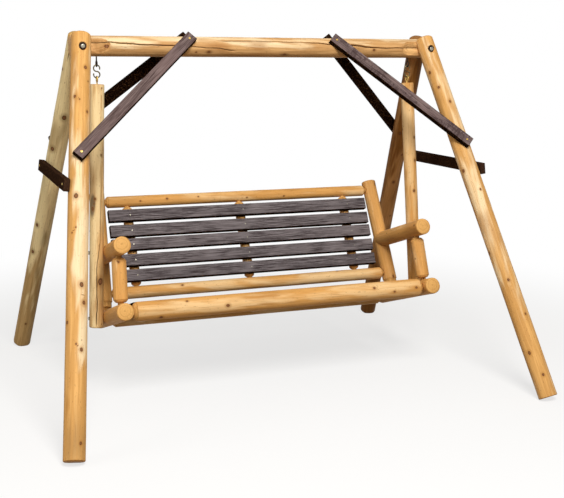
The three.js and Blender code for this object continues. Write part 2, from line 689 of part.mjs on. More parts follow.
const poleMortises = (endsOf, end) =>
  [-1, 0, 1].map((index) => {
    const ends = endsOf(index);
    const into = end ? upPost(ends) : downPost(ends);
    return mortise(ends[end], into, poleTenon);
  });

const slatLift = poleRadius - POLE_FLAT + SEAT_GAP + BOARD_THICKNESS / 2;
const slatLength = 2 * (railFaceX - SLAT_END_GAP);

function backSlat(index) {
  const gaps = BACK_SLAT_GAPS.slice(0, index).reduce((sum, gap) => sum + gap, 0);
  const middle = onBack(BOARD_SHIFT, BACK_SLAT_LOWEST + index * BOARD_WIDTH + gaps, slatLift);
  return board({ middle, along: ACROSS, face: backFace, length: slatLength });
}

function seatSlat(index) {
  const middle = vec(BOARD_SHIFT, SEAT_SLAT_FIRST + index * SEAT_SLAT_PITCH, slatLift - SEAT_POLE_SINK);
  return board({ middle, along: ACROSS, face: UP, length: slatLength });
}

// ---------------------------------------------------------------- assembly

const sides = [[-1, 'left'], [1, 'right']];
const ends = [[-1, 'front'], [1, 'rear']];

function buildStand() {
  const stand = new THREE.Group();
  const add = (name, solid, material) => stand.add(namedMesh(name, solid, material));
  add('top_beam', topBeam(), peeledLog);
  for (const [side, sideName] of sides) {
    for (const [end, endName] of ends) {
      add(`${endName}_${sideName}_leg`, leg(side, end), peeledLog);
      add(`${endName}_${sideName}_brace`, braceBoard(side, end), darkBoard);
    }
    add(`${sideName}_side_tie`, tieBoard(side), darkBoard);
    add(`${sideName}_leg_bolt`, legBolt(side), zincSteel);
    add(`${sideName}_leg_washer`, legWasher(side), blackSteel);
    add(`${sideName}_leg_nut`, legNut(side), blackSteel);
    add(`${sideName}_beam_eye`, screwEye(beamEye(side)), blackSteel);
    add(`${sideName}_s_hook`, hook(side), zincSteel);
  }
  return stand;
}

// Every piece of the bench as [name, solid, material], in the bench's own frame.
function benchPieces() {
  const pieces = [];
  for (const [side, name] of sides) {
    pieces.push([`${name}_hanger`, hanger(side), paleLog]);
    pieces.push([`${name}_side_rail`, sideRail(side), peeledLog]);
    pieces.push([`${name}_armrest`, armrest(side), peeledLog]);
    pieces.push([`${name}_arm_post`, armPost(side), peeledLog]);
    pieces.push([`${name}_back_post`, backPost(side), peeledLog]);
    pieces.push([`${name}_hanger_eye`, screwEye(hangerEye(side)), zincSteel]);
    pieces.push([`${name}_arm_lag_bolt`, lagBolt(side, ARM_HEIGHT), zincSteel]);
    pieces.push([`${name}_rail_lag_bolt`, lagBolt(side, 0), zincSteel]);
  }
  const backRailEnds = (up) => (side) => backRailEnd(side, up);
  const topRailEnds = backRailEnds(TOP_RAIL_UP);
  const lowRailEnds = backRailEnds(LOW_RAIL_UP);
  const frontMortises = poleMortises(seatPoleEnds, 0);
  const rearMortises = poleMortises(seatPoleEnds, 1);
  const lowMortises = poleMortises(backPoleEnds, 0);
  const topMortises = poleMortises(backPoleEnds, 1);
  const crossLogs = [
    ['front_seat_log', frontLogEnd, FRONT_LOG_DIAMETER, crossTenon, frontMortises],
    ['rear_seat_log', rearLogEnd, REAR_LOG_DIAMETER, crossTenon, rearMortises],
    ['top_back_rail', topRailEnds, TOP_RAIL_DIAMETER, backTenon, topMortises],
    ['lower_back_rail', lowRailEnds, LOW_RAIL_DIAMETER, backTenon, lowMortises],
  ];
  for (const [name, ...sizes] of crossLogs) pieces.push([name, crossLog(...sizes), peeledLog]);
  const poleNames = [[-1, 'left'], [0, 'middle'], [1, 'right']];
  for (const [index, name] of poleNames) {
    pieces.push([`${name}_back_spindle`, pole(backPoleEnds(index), backFace), peeledLog]);
    pieces.push([`${name}_seat_bearer`, pole(seatPoleEnds(index), UP), peeledLog]);
  }
  for (let index = 0; index <= BACK_SLAT_GAPS.length; index += 1) {
    pieces.push([`back_slat_${index + 1}`, backSlat(index), darkBoard]);
  }
  for (let index = 0; index < SEAT_SLAT_COUNT; index += 1) {
    pieces.push([`seat_slat_${index + 1}`, seatSlat(index), darkBoard]);
  }
  return pieces;
}

// The centre of mass of some pieces, from the tetrahedra between the origin and their faces.
function centreOfMass(pieces) {
  const total = vec(0, 0, 0);
  let mass = 0;
  for (const [, solid, material] of pieces) {
    const { vertProperties: points, triVerts } = solid.getMesh();
    const corner = (index) => vec().fromArray(points, 3 * triVerts[index]);
    const density = material.metalness > 0 ? STEEL_DENSITY : WOOD_DENSITY;
    for (let i = 0; i < triVerts.length; i += 3) {
      const [a, b, c] = [corner(i), corner(i + 1), corner(i + 2)];
      const weight = (density * a.dot(b.clone().cross(c))) / 6;
      total.addScaledVector(a.add(b).add(c), weight / 4);
      mass += weight;
    }
  }
  return total.divideScalar(mass);
}

// The bench hangs at rest with its centre of mass plumb below the hooks' lower bearing
// points, which fixes how far it tips back.
function hangBench(pieces) {
  const { y, z } = centreOfMass(pieces);
  const ring = eyeRingCentre(hangerEye(1));
  const bearing = ringRadius - wireSpan; // of the hook above the middle of the eye's ring
  let tip = 0;
  let pivot = ring;
  for (let pass = 0; pass < 8; pass += 1) {
    pivot = vec(0, ring.y - bearing * Math.sin(tip), ring.z + bearing * Math.cos(tip));
    tip = Math.atan2(y - pivot.y, pivot.z - z);
  }
  const bench = new THREE.Group();
  bench.rotation.x = -tip;
  const lifted = pivot.applyEuler(bench.rotation);
  bench.position.set(0, -lifted.y, hookFoot - lifted.z);
  return bench;
}

const pieces = benchPieces();
const bench = hangBench(pieces);
for (const [name, solid, material] of pieces) bench.add(namedMesh(name, solid, material));

const swing = new THREE.Group();
swing.add(buildStand(), bench);

export default swing;
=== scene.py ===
"""A garden porch swing: a log bench on two hooks, under the top beam of a log A-frame stand."""
from math import cos, pi, radians, sin

import bmesh
import bpy
import numpy as np
from mathutils import Matrix, Vector


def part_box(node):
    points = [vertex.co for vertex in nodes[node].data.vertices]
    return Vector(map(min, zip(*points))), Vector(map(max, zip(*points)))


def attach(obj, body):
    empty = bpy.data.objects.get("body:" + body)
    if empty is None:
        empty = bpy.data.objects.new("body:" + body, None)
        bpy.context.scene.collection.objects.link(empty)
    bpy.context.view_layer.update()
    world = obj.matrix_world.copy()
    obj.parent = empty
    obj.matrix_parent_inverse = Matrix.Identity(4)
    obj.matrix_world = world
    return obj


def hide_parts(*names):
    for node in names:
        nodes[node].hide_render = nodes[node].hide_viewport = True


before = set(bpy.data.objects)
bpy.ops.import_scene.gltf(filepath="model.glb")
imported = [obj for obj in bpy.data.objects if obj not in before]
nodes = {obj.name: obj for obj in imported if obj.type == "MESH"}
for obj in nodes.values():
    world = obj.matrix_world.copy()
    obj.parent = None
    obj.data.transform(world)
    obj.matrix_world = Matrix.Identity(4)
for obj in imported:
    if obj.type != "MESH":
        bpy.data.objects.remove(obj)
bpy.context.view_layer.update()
MM = 0.001


# ------------------------ legs and top beam
# Conifer logs, stripped with a drawknife and oiled: honey in front and olive behind, with a darker
# russet palette on the rear right leg as painted shade.
# The four legs clamp the flattened ends of the beam, their heads are eased to a dome, and the
# boards are let into them.

class Shade:
    """A socket of a material's nodes. Arithmetic adds Math nodes, and node() any other node."""

    def __init__(self, tree, socket=None):
        self.tree = tree
        self.socket = socket

    def feed(self, socket, value):
        if isinstance(value, Shade):
            self.tree.links.new(value.socket, socket)
        else:
            socket.default_value = value

    def node(self, kind, values, output=0, **settings):
        made = self.tree.nodes.new(kind)
        for name, value in settings.items():
            setattr(made, name, value)
        for name, value in values.items():
            self.feed(made.inputs[name], value)
        return Shade(self.tree, made.outputs[output])

    def math(self, operation, *values):
        return self.node("ShaderNodeMath", dict(enumerate(values)), operation=operation)

    __add__ = __radd__ = lambda self, other: self.math("ADD", self, other)
    __mul__ = __rmul__ = lambda self, other: self.math("MULTIPLY", self, other)
    __sub__ = lambda self, other: self.math("SUBTRACT", self, other)
    __rsub__ = lambda self, other: self.math("SUBTRACT", other, self)
    __pow__ = lambda self, other: self.math("POWER", self, other)


def rise(value, low, high):
    """0 below low, 1 above high and smooth between; falls where low is above high."""
    limits = {"Value": value, "From Min": low, "From Max": high}
    return value.node("ShaderNodeMapRange", limits, interpolation_type="SMOOTHSTEP")


def blend(factor, first, second):
    mixed = {0: factor, 6: first, 7: second}
    return factor.node("ShaderNodeMix", mixed, 2, data_type="RGBA", clamp_factor=True)


def stretched(vector, *factors):
    return vector.node("ShaderNodeVectorMath", {0: vector, 1: factors}, operation="MULTIPLY")


def noise(vector, scale, detail=2.0, roughness=0.5):
    values = {"Vector": vector, "Scale": scale, "Detail": detail, "Roughness": roughness}
    return vector.node("ShaderNodeTexNoise", values)


def paint(code):
    """A display colour such as 0xE8B870, as the linear colour that a shader takes."""
    parts = [((code >> shift) & 255) / 255 for shift in (16, 8, 0)]
    return (*[p / 12.92 if p < 0.04045 else ((p + 0.055) / 1.055) ** 2.4 for p in parts], 1)


def layered(base, *layers):
    """Lays colours over a base. Each is (shade, low, high, strength, colour), on where it rises."""
    for shade, low, high, strength, colour in layers:
        base = blend(rise(shade, low, high) * strength, base, paint(colour))
    return base


def attribute(root, name, output="Vector"):
    return root.node("ShaderNodeAttribute", {}, output, attribute_name=name)


def split(vector):
    parts = vector.node("ShaderNodeSeparateXYZ", {0: vector}).socket.node
    return [Shade(vector.tree, socket) for socket in parts.outputs]


def new_material(name):
    material = bpy.data.materials.new(name)
    material.use_nodes = True
    return material, Shade(material.node_tree), material.node_tree.nodes["Principled BSDF"].inputs


def uneven(root, surface, height, strength, depth):
    bump = root.node("ShaderNodeBump", {"Strength": strength, "Distance": depth, "Height": height})
    root.feed(surface["Normal"], bump)


def peeled_wood(name, cream, amber, brown, end_grain, skinned=0.5, mottled=1.0):
    """Peeled log: amber skin with slanting patches cut down to cream, dark fringes and specks,
    knots with resin, drying cracks darkened as painted shade, and growth rings wherever the log is
    sawn across. The bared and stain marks also lay painted light and painted shade."""
    material, root, surface = new_material(name)
    grain = attribute(root, "grain")
    across, down, _ = split(grain)
    girth = (across * across + down * down) ** 0.5
    marks = ("sawn", "check", "stain", "bared_light_and_shade", "full_radius", "split_at")
    sawn, check, stain, bare_light_and_shade, size, split_at = (attribute(root, mark, "Fac") for mark in marks)
    knot_x, knot_y, knot_reach = split(attribute(root, "knot"))
    lean = {"Vector": grain, "Angle": 0.1}
    slanting = root.node("ShaderNodeVectorRotate", lean, rotation_type="X_AXIS")

    resin, damp_and_shade, knot_rim, knot_wood, knot_core = 0x86552C, 0x4E4334, 0x54301C, 0x94643F, 0x5E341E
    # The crack colours darken the drying cracks and the radial cracks of the end grain, as painted
    # shade.
    crack, end_crack_shade = 0x3A1A0C, 0x4A2410
    patch = noise(stretched(slanting, 1, 1, 0.16), 14, 3, 0.55)
    streak = noise(stretched(grain, 1, 1, 0.06), 60, 3)
    cloud = noise(stretched(slanting, 1, 1, 0.35), 8, 2)
    thin = noise(stretched(grain, 1, 1, 0.035), 190, 2)
    fibre = noise(stretched(grain, 1, 1, 0.03), 620, 2)
    speck = noise(stretched(grain, 1, 1, 0.3), 240, 1)

    # The bared mark pales the patches towards cream where it is positive and darkens them towards
    # amber where it is negative: real bared spots, painted light and painted shade.
    edge = patch + (streak - 0.5) * 0.3 + bare_light_and_shade * 0.14
    fringe = rise(edge, skinned + 0.03, skinned - 0.02) * (0.22 * mottled)
    skin = layered(paint(amber), (streak, 0.6, 0.42, 0.35 * mottled, brown),
                   (edge, skinned - 0.12, skinned - 0.03, fringe, brown))
    bare = layered(paint(cream), (streak, 0.45, 0.68, 0.35, amber))
    skin = blend(rise(edge, skinned - 0.1, skinned + 0.12), skin, bare)
    # The stain mark lays the damp colour, both for real stains and for painted shade.
    skin = layered(skin, (cloud, 0.56, 0.7, 0.5 * mottled, brown), (thin, 0.58, 0.72, 0.35, brown),
                   (speck, 0.67, 0.75, 0.55, resin),
                   (stain + (streak - 0.5) * 0.5, 0.25, 0.8, 0.8, damp_and_shade))

    off_across, off_down, ring_width, rings_per_metre = across - 0.004, down + 0.003, 0.0021, 476
    wobble = (noise(stretched(grain, 1, 1, 0.5), 26, 2) - 0.5) * 0.014
    growth = (off_across * off_across + off_down * off_down) ** 0.5 + wobble
    ring = rise(growth.math("PINGPONG", growth, ring_width) * rings_per_metre, 0.25, 0.95)
    seasons = noise(root.node("ShaderNodeCombineXYZ", {"X": growth, "Y": 0.3}), 130, 1)
    facing = off_down.math("ARCTAN2", off_down, off_across)
    star = noise(root.node("ShaderNodeCombineXYZ", {"X": facing}), 3.1, 2)
    heart = layered(blend(ring * 0.36, paint(end_grain), paint(brown)),
                    (seasons, 0.48, 0.6, 0.32, brown),
                    (star, 0.6, 0.7, rise(growth, 0.004, 0.012) * 0.3, brown),
                    (noise(grain, 900, 2), 0.5, 0.72, 0.3, brown),
                    (noise(grain, 90, 2), 0.52, 0.7, 0.18, brown),
                    (size - girth, 0.0045, 0.001, 0.55, brown), (stain, 0.05, 0.6, 0.9, brown))
    ragged = (noise(grain, 330, 2) - 0.5) * 0.55
    spot = (knot_x * knot_x + knot_y * knot_y) ** 0.5 + ragged
    near = rise(knot_reach, 4.6, 3.6)
    beside_split = down.math("ARCTAN2", down, across) - split_at + (streak - 0.5) * 0.06
    beside_split = beside_split.math("ABSOLUTE", beside_split) * girth
    # Over the wood go the knots, the painted shade of the cracks, and fine fibres.
    wood = layered(blend(sawn, skin, heart), (spot, 3.2, 1.0, near * 0.5, brown),
                   (spot, 1.25, 1.0, near * 0.95, knot_rim),
                   (spot, 0.8, 0.45, near * 0.85, knot_wood),
                   (spot, 0.3, 0.1, near * 0.7, knot_core),
                   (check, 0.2, 0.7, (1.0 - sawn) * 0.95, crack),
                   (beside_split, 0.0019, 0.0007, sawn * 0.85, end_crack_shade),
                   (fibre, 0.35, 0.8, 0.14, brown))

    root.feed(surface["Base Color"], wood)
    root.feed(surface["Roughness"], 0.5 + fibre * 0.2)
    surface["Specular IOR Level"].default_value = 0.15
    height = streak * 0.5 + thin * 0.6 + fibre * 0.35 - rise(spot, 1.3, 0.7) * near * 0.5
    uneven(root, surface, height + ring * sawn * 0.25, 0.35, 1.2 * MM)
    return material


def linked(name, data):
    """A new object, linked to the scene."""
    made = bpy.data.objects.new(name, data)
    bpy.context.scene.collection.objects.link(made)
    return made


def mesh_of(name, points, faces):
    mesh = bpy.data.meshes.new(name)
    mesh.from_pydata(points, [], faces)
    return mesh


def tube_faces(rings, count):
    """The faces of a closed tube whose points lie in rings of so many."""
    index = np.arange(rings * count).reshape(rings, count)
    following = np.roll(index, -1, axis=1)
    quads = np.stack([index[:-1], following[:-1], following[1:], index[1:]], -1).reshape(-1, 4)
    return quads.tolist() + [index[0][::-1].tolist(), index[-1].tolist()]


def read_vectors(items, field):
    values = np.empty(3 * len(items), np.float32)
    items.foreach_get(field, values)
    return values.reshape(-1, 3)


def unit(vector):
    return vector / np.linalg.norm(vector)


def wrapped(angle):
    """The same angle between minus and plus half a turn."""
    return (angle + pi) % (2 * pi) - pi


def merged_copy(node):
    """A CAD node's mesh with its corners joined."""
    copy = bmesh.new()
    copy.from_mesh(nodes[node].data)
    bmesh.ops.remove_doubles(copy, verts=copy.verts, dist=0.002 * MM)
    return copy


class LogFrame:
    """Where a faceted log lies: its axis, from the planes of its long facets, and its radius."""

    def __init__(self, cad):
        faces = [face for face in cad.faces if face.calc_area() > 1e-8]
        normal = np.array([face.normal for face in faces])
        middle = np.array([face.calc_center_median() for face in faces])
        area = np.array([face.calc_area() for face in faces])
        weight = area ** 2
        for _ in range(3):
            axis = np.linalg.eigh(np.einsum("i,ij,ik->jk", weight, normal, normal))[1][:, 0]
            weight = area * (np.abs(normal @ axis) < 0.01)
        self.axis = axis * np.sign(axis[np.argmax(np.abs(axis))])
        ahead = np.array([0, 0, 1.0]) if abs(self.axis[1]) > 0.8 else np.array([0, -1.0, 0])
        self.ahead = unit(ahead - self.axis * (ahead @ self.axis))
        self.beside = np.cross(self.axis, self.ahead)
        self.place(normal, middle, area * (weight > 0))
        _, radius, along = self.local(np.array([vert.co for vert in cad.verts]))
        self.corner_radius = radius.max()
        self.low, self.high = along.min(), along.max()
        self.ends = [self.end(radius, along - self.low), self.end(radius, self.high - along)]

    def place(self, normal, middle, area):
        """The axis keeps one distance from the planes of nearly all the long facets."""
        steps_per_unit, steps_per_metre, long_facet, play = 50, 2000, 0.15, 0.02 * MM
        offset = np.einsum("ij,ij->i", normal, middle)
        rounded = np.column_stack([normal * steps_per_unit, offset * steps_per_metre]).round()
        _, first, same = np.unique(rounded, axis=0, return_index=True, return_inverse=True)
        shared = np.bincount(same.ravel(), area)
        first = first[shared > long_facet * shared.max()]
        normal, offset = normal[first], offset[first]
        rows = np.column_stack([normal @ self.ahead, normal @ self.beside, np.ones(len(offset))])
        trust = np.ones(len(offset))
        for _ in range(40):
            scale = np.sqrt(trust)
            best = np.linalg.lstsq(rows * scale[:, None], offset * scale, rcond=None)[0]
            trust = 1 / (np.abs(rows @ best - offset) + play)
        self.centre = self.ahead * best[0] + self.beside * best[1]
        self.flat_radius = best[2]

    def end(self, radius, inward):
        """Rim radius, shoulder depth and radius, and where the full radius starts."""
        tenon_limit, nearly_full = 0.72 * self.corner_radius, 0.985 * self.corner_radius
        rim = radius[inward < 0.5 * MM].max()
        full = inward[radius > nearly_full].min()
        if rim > tenon_limit:
            return {"rim": rim, "full": full, "tenon": False}
        beyond = radius > rim + 1.2 * MM
        shoulder = inward[beyond].min()
        level = radius[beyond & (inward < shoulder + 0.5 * MM)].max()
        return {"rim": rim, "full": full, "tenon": True, "shoulder": shoulder, "level": level}

    def local(self, points):
        """Bearing round the axis, distance from it, and place along it."""
        offset = points - self.centre
        a, b, along = offset @ self.ahead, offset @ self.beside, points @ self.axis
        return np.arctan2(b, a), np.hypot(a, b), along

    def outward(self, bearing):
        return np.cos(bearing)[..., None] * self.ahead + np.sin(bearing)[..., None] * self.beside

    def world(self, bearing, radius, along):
        along = np.asarray(along)[..., None]
        return self.centre + self.outward(bearing) * radius[..., None] + along * self.axis

    def station(self, share):
        """How far along the axis a share of the log's length is."""
        return self.low + share * (self.high - self.low)


skim = 0.15 * MM


def end_stations(end, radius, dome, collar):
    """(depth, radius) pairs from a log's end inwards, just inside the faceted one."""
    if end["tenon"]:
        within_facets = 0.945
        tenon = end["rim"] * within_facets
        base, level, full = end["shoulder"] + skim, end["level"] * 0.985, end["full"]
        if collar:
            step = base + collar
            foot = [(base, level * 0.93), (base + 3 * MM, level * 0.975), (step, level * 0.985)]
            neck = foot + [(step + 0.8 * MM, radius - 2.6 * MM), (step + 3.5 * MM, radius)]
        else:
            neck = [(base, level - 1 * MM), (base + 0.6 * MM, level + 0.4 * MM)]
            for share in (0.2, 0.4, 0.6, 0.8, 1.0):
                bulge = share + 0.22 * sin(pi * share) * (1 - share)
                neck.append((base + share * (full - base), level + bulge * (radius - level)))
            neck.append((full + 2 * MM, radius))
        tip = [(skim, tenon - 1.5 * MM), (1.5 * MM, tenon)]
        return tip + [(base - 0.5 * MM, tenon)] + neck
    if dome:
        turns = np.linspace(0, pi / 2, 8)
        return [(skim + 0.85 * dome * (1 - cos(turn)), radius - dome * (1 - sin(turn)))
                for turn in turns]
    chamfer = end["full"]
    return [(skim, radius - chamfer - 0.5 * MM), (skim + 0.4 * MM, radius - chamfer + 0.4 * MM),
            (0.6 * chamfer, radius - 0.5 * chamfer), (chamfer, radius - 0.35 * MM),
            (chamfer + 1.5 * MM, radius)]


def drawknifed(bearing, along, radius, low, high, rng):
    """Distance from the axis to a surface left by many long, shallow strokes of a drawknife."""
    reach = np.full(bearing.shape, radius)
    strokes_per_area, narrowest = 330 / 0.05, 0.85
    for _ in range(int(strokes_per_area * radius * (high - low))):
        middle, half = rng.uniform(low, high), rng.uniform(0.05, 0.26)
        facing, bite = rng.uniform(-pi, pi), rng.uniform(0.15, 1.0) * MM
        cut = bite * np.clip(1 - ((along - middle) / half) ** 2, 0, None)
        turn = np.cos(bearing - facing)
        flat = (radius - cut) / np.maximum(turn, narrowest)
        reach = np.where(turn > narrowest, np.minimum(reach, flat), reach)
    return reach


class Check:
    """A drying crack along a log. Its line is (share of the length, bearing) points, its width
    and depth are in millimetres, and it wanders a little and closes at both ends."""

    def __init__(self, line, width, depth, place, rng):
        self.stations = [place.station(share) for share, _ in line]
        self.bearings = [radians(bearing) for _, bearing in line]
        self.width, self.depth = width * MM, depth * MM
        self.phases = rng.uniform(0, 2 * pi, 4)

    def bearing(self, along, radius):
        sizes, lengths = (0.003, 0.0016, 0.0008, 0.0004), (0.8, 0.31, 0.12, 0.045)
        wander = sum(size * np.sin(2 * pi * along / length + phase)
                     for size, length, phase in zip(sizes, lengths, self.phases))
        return np.interp(along, self.stations, self.bearings) + wander / radius

    def opening(self, bearing, along, radius):
        """1 in the middle of the crack and 0 outside it."""
        across = wrapped(bearing - self.bearing(along, radius)) * radius
        nearer_end = np.minimum(along - self.stations[0], self.stations[-1] - along)
        ends = np.clip(nearer_end / 0.05, 0, 1) ** 0.6
        swell = 0.75 + 0.25 * np.sin(along * 9 + self.phases[0])
        return np.exp(-(across / (0.5 * self.width * swell)) ** 2) * ends


def knot_list(given, count, place, rng):
    """The given knots and more, scattered clear of those: (place along, bearing, size)."""
    knots = [(place.station(share), radians(bearing), 1.15 * size * MM)
             for share, bearing, size in given]
    clear_along, clear_round, tries_each = 0.07, 0.06, 40
    for _ in range(tries_each * count):
        if len(knots) >= len(given) + count:
            break
        along, bearing = rng.uniform(place.low, place.high), rng.uniform(-pi, pi)
        size = rng.choice([2.2, 3.5, 5.5, 6.5]) * rng.uniform(0.85, 1.15) * MM
        if all(abs(along - spot) > clear_along
               or abs(wrapped(bearing - facing)) * place.flat_radius > clear_round
               for spot, facing, _ in knots):
            knots.append((along, bearing, size))
    return knots


def nearest_knot(bearing, along, radius, knots):
    """Offsets across and along to the nearest knot, in knot sizes, and the distance to it."""
    best = np.full(bearing.shape + (3,), 9.0)
    for spot, facing, size in knots:
        across = wrapped(bearing - facing) * radius / size
        lengthwise = 0.8 * (along - spot) / size
        reach = np.hypot(across, lengthwise)
        closer = reach < best[..., 2]
        best[closer] = np.stack([across, lengthwise, np.minimum(reach, 9.0)], -1)[closer]
    return best


def column_bearings(along, radius, columns, checks):
    """The angles of the mesh's columns at each station: even, but close along each crack."""
    if not checks:
        even = np.linspace(-pi, pi, columns, endpoint=False)
        return np.broadcast_to(even, (len(along), columns))
    across_half, clear, groups = np.array([0, 0.45, 0.9, 1.5]), 1.7, []
    lines = [check.bearing(along, radius) for check in checks]
    for check, line, following in zip(checks, lines, lines[1:] + [lines[0] + 2 * pi]):
        near = across_half * check.width / 2 / radius
        count = max(2, round(columns * float(np.mean(following - line)) / (2 * pi)))
        start, stop = line + near[3] * clear, following - near[3] * clear
        between = start + (stop - start) * np.linspace(0, 1, count)
        groups += [line + near, between, following - near[:0:-1]]
    return wrapped(np.concatenate(groups, axis=1))


def opening_of(checks, bearing, along, radius):
    openings = [check.opening(bearing, along, radius) for check in checks]
    return np.max(openings or [np.zeros(bearing.shape)], axis=0)


def fine_log_mesh(place, columns, dome, collar, knots, checks, rng):
    """A closed tube of fine quads with the log's end shapes, knots, strokes and cracks."""
    radius = place.flat_radius - skim
    spacing, bulge, bulge_reach, dip, dip_reach = 10 * MM, 0.35 * MM, 2.2, 0.5 * MM, 0.6
    lower = end_stations(place.ends[0], radius, dome[0], collar)
    upper = end_stations(place.ends[1], radius, dome[1], 0)
    start, stop = place.low + lower[-1][0], place.high - upper[-1][0]
    steps = max(2, int((stop - start) / spacing))
    middle = [(start + (stop - start) * i / steps, radius) for i in range(1, steps)]
    stations = [(place.low + s, r) for s, r in lower] + middle
    stations += [(place.high - s, r) for s, r in reversed(upper)]
    along, profile = (np.array(values)[:, None] for values in zip(*stations))
    bearing = column_bearings(along, radius, columns, checks)
    along_grid = np.broadcast_to(along, bearing.shape)
    reach = drawknifed(bearing, along_grid, radius, place.low, place.high, rng)
    knot = nearest_knot(bearing, along_grid, radius, knots)
    reach -= bulge * (1 - np.exp(-(knot[..., 2] / bulge_reach) ** 2))
    reach -= dip * np.exp(-(knot[..., 2] / dip_reach) ** 2)
    for check in checks:
        reach -= check.depth * check.opening(bearing, along_grid, radius)
    spread = profile * reach / radius
    points = place.world(bearing, spread, along_grid).reshape(-1, 3)
    return mesh_of("log", points.tolist(), tube_faces(*spread.shape))


def built_mesh(made, *helpers):
    """The mesh that an object's modifiers make. The object and its helpers go."""
    depsgraph = bpy.context.evaluated_depsgraph_get()
    mesh = bpy.data.meshes.new_from_object(made.evaluated_get(depsgraph))
    for part in (made, *helpers):
        bpy.data.objects.remove(part)
    return mesh


def common_part(mesh, cutter):
    """What a closed mesh and a bmesh cutter have in common, as a new mesh."""
    tool_mesh = bpy.data.meshes.new("cutter")
    cutter.to_mesh(tool_mesh)
    tool, work = linked("cutter", tool_mesh), linked("work", mesh)
    keep = work.modifiers.new("keep", "BOOLEAN")
    keep.operation, keep.solver, keep.object = "INTERSECT", "MANIFOLD", tool
    return built_mesh(work, tool)


def write_attribute(mesh, name, values, domain="POINT"):
    """Numbers, or vectors where each value is a row of three."""
    values = np.asarray(values, np.float32)
    kind, field = ("FLOAT_VECTOR", "vector") if values.ndim == 2 else ("FLOAT", "value")
    mesh.attributes.new(name, kind, domain).data.foreach_set(field, values.ravel())


def blots(spots, bearing, along, place):
    """The sum of soft spots: share of the length, bearing, half width and length, strength."""
    total = np.zeros(len(along))
    for share, facing, width, length, strength in spots:
        across = wrapped(bearing - radians(facing)) * place.flat_radius / (width * MM)
        lengthwise = (along - place.station(share)) / (length * MM)
        total += strength * np.exp(-across ** 2 - lengthwise ** 2)
    return total


def mark_wood(mesh, place, knots, checks, stains_and_shade, bared_light_and_shade, seed):
    """Grain coordinates, knots, cracks, stains and bared spots with their painted light and painted
    shade, and sawn faces, for the wood materials.
    """
    bearing, radius, along = place.local(read_vectors(mesh.vertices, "co").astype(float))
    full = place.flat_radius
    knot = nearest_knot(bearing, along, full, knots)
    swerve, swerve_width, swerve_length, no_split = 3.75 * MM, 2.2, 4.5, 9.0
    parting = np.exp(-(knot[:, 0] / swerve_width) ** 2 - (knot[:, 1] / swerve_length) ** 2)
    flow = bearing - swerve * parting * knot[:, 0] / full
    split_at = np.full(len(along), no_split)
    for check in checks:
        reached = (along > check.stations[0] - MM) & (along < check.stations[-1] + MM)
        split_at[reached] = check.bearing(along, full)[reached]
    grain = np.stack([radius * np.cos(flow), radius * np.sin(flow), along + 3.7 * seed], -1)
    # The stain mark holds real stains and painted shade, and the bared mark real bared spots,
    # painted light and painted shade.
    marks = {"grain": grain, "knot": knot, "full_radius": np.full(len(along), full),
             "split_at": split_at, "check": opening_of(checks, bearing, along, full),
             "stain": blots(stains_and_shade, bearing, along, place),
             "bared_light_and_shade": blots(bared_light_and_shade, bearing, along, place)}
    for name, values in marks.items():
        write_attribute(mesh, name, values)
    facing, distance, middle_along = place.local(read_vectors(mesh.polygons, "center").astype(float))
    normal = read_vectors(mesh.polygons, "normal")
    facing_out, cut_down, within_crack = 0.8, 0.93 * full, 0.05
    turned_away = np.einsum("ij,ij->i", normal, place.outward(facing)) < facing_out
    groove = opening_of(checks, facing, middle_along, full) > within_crack
    write_attribute(mesh, "sawn", (turned_away | (distance < cut_down)) & ~groove, "FACE")


def peeled_log(node, wood, seed, columns, more_knots, body="bench", slot="peeled_log", dome=(0, 0),
               collar=0, knots=(), cracks=(), stains_and_shade=(), bared_light_and_shade=()):
    """A log. Its knots are given as knot_list takes them, its cracks as Check does, its stains and
    bared spots as blots does; these also lay painted light and painted shade. A collar is the length
    of a shoulder cut in by hand."""
    cad = merged_copy(node)
    place = LogFrame(cad)
    rng = np.random.default_rng(seed)
    checks = [Check(*crack, place, rng) for crack in cracks]
    knot_spots = knot_list(knots, more_knots, place, rng)
    mesh = common_part(fine_log_mesh(place, columns, dome, collar, knot_spots, checks, rng), cad)
    cad.free()
    mesh.name = node + "_wood"
    mark_wood(mesh, place, knot_spots, checks, stains_and_shade, bared_light_and_shade, seed)
    finished(node, body, mesh, wood, mesh.name)


def shaded(name, mesh, sharp):
    """An object that shades smooth but for edges sharper than so many degrees."""
    mesh.polygons.foreach_set("use_smooth", [True] * len(mesh.polygons))
    mesh.set_sharp_from_angle(angle=radians(sharp))
    return linked(name, mesh)


def finished(node, body, mesh, material, name, sharp=34):
    """A piece in the place of its CAD node."""
    mesh.materials.clear()
    mesh.materials.append(material)
    piece = shaded(name, mesh, sharp)
    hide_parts(node)
    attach(piece, body)


honey = peeled_wood("honey_peeled_log", 0xF5DCB2, 0xE4B06A, 0xA8702F, 0xE3AC66)
olive = peeled_wood("olive_peeled_log", 0xFFEAB4, 0xCAA670, 0x8E6C3A, 0xC8A060, 0.45)
# The russet palette is darkened to paint the shade that falls on the rear right leg.
shaded_russet = peeled_wood("shaded_russet_peeled_log", 0xC69058, 0x94622A, 0x643A14, 0x9A6C38, 0.56)
tan = peeled_wood("tan_peeled_log", 0xEFCA94, 0xE0A860, 0x9E662C, 0xEBB86E, 0.54, 0.6)
creamy = peeled_wood("creamy_peeled_log", 0xF2DAB0, 0xDEB076, 0x98602A, 0xECBE80, 0.47)

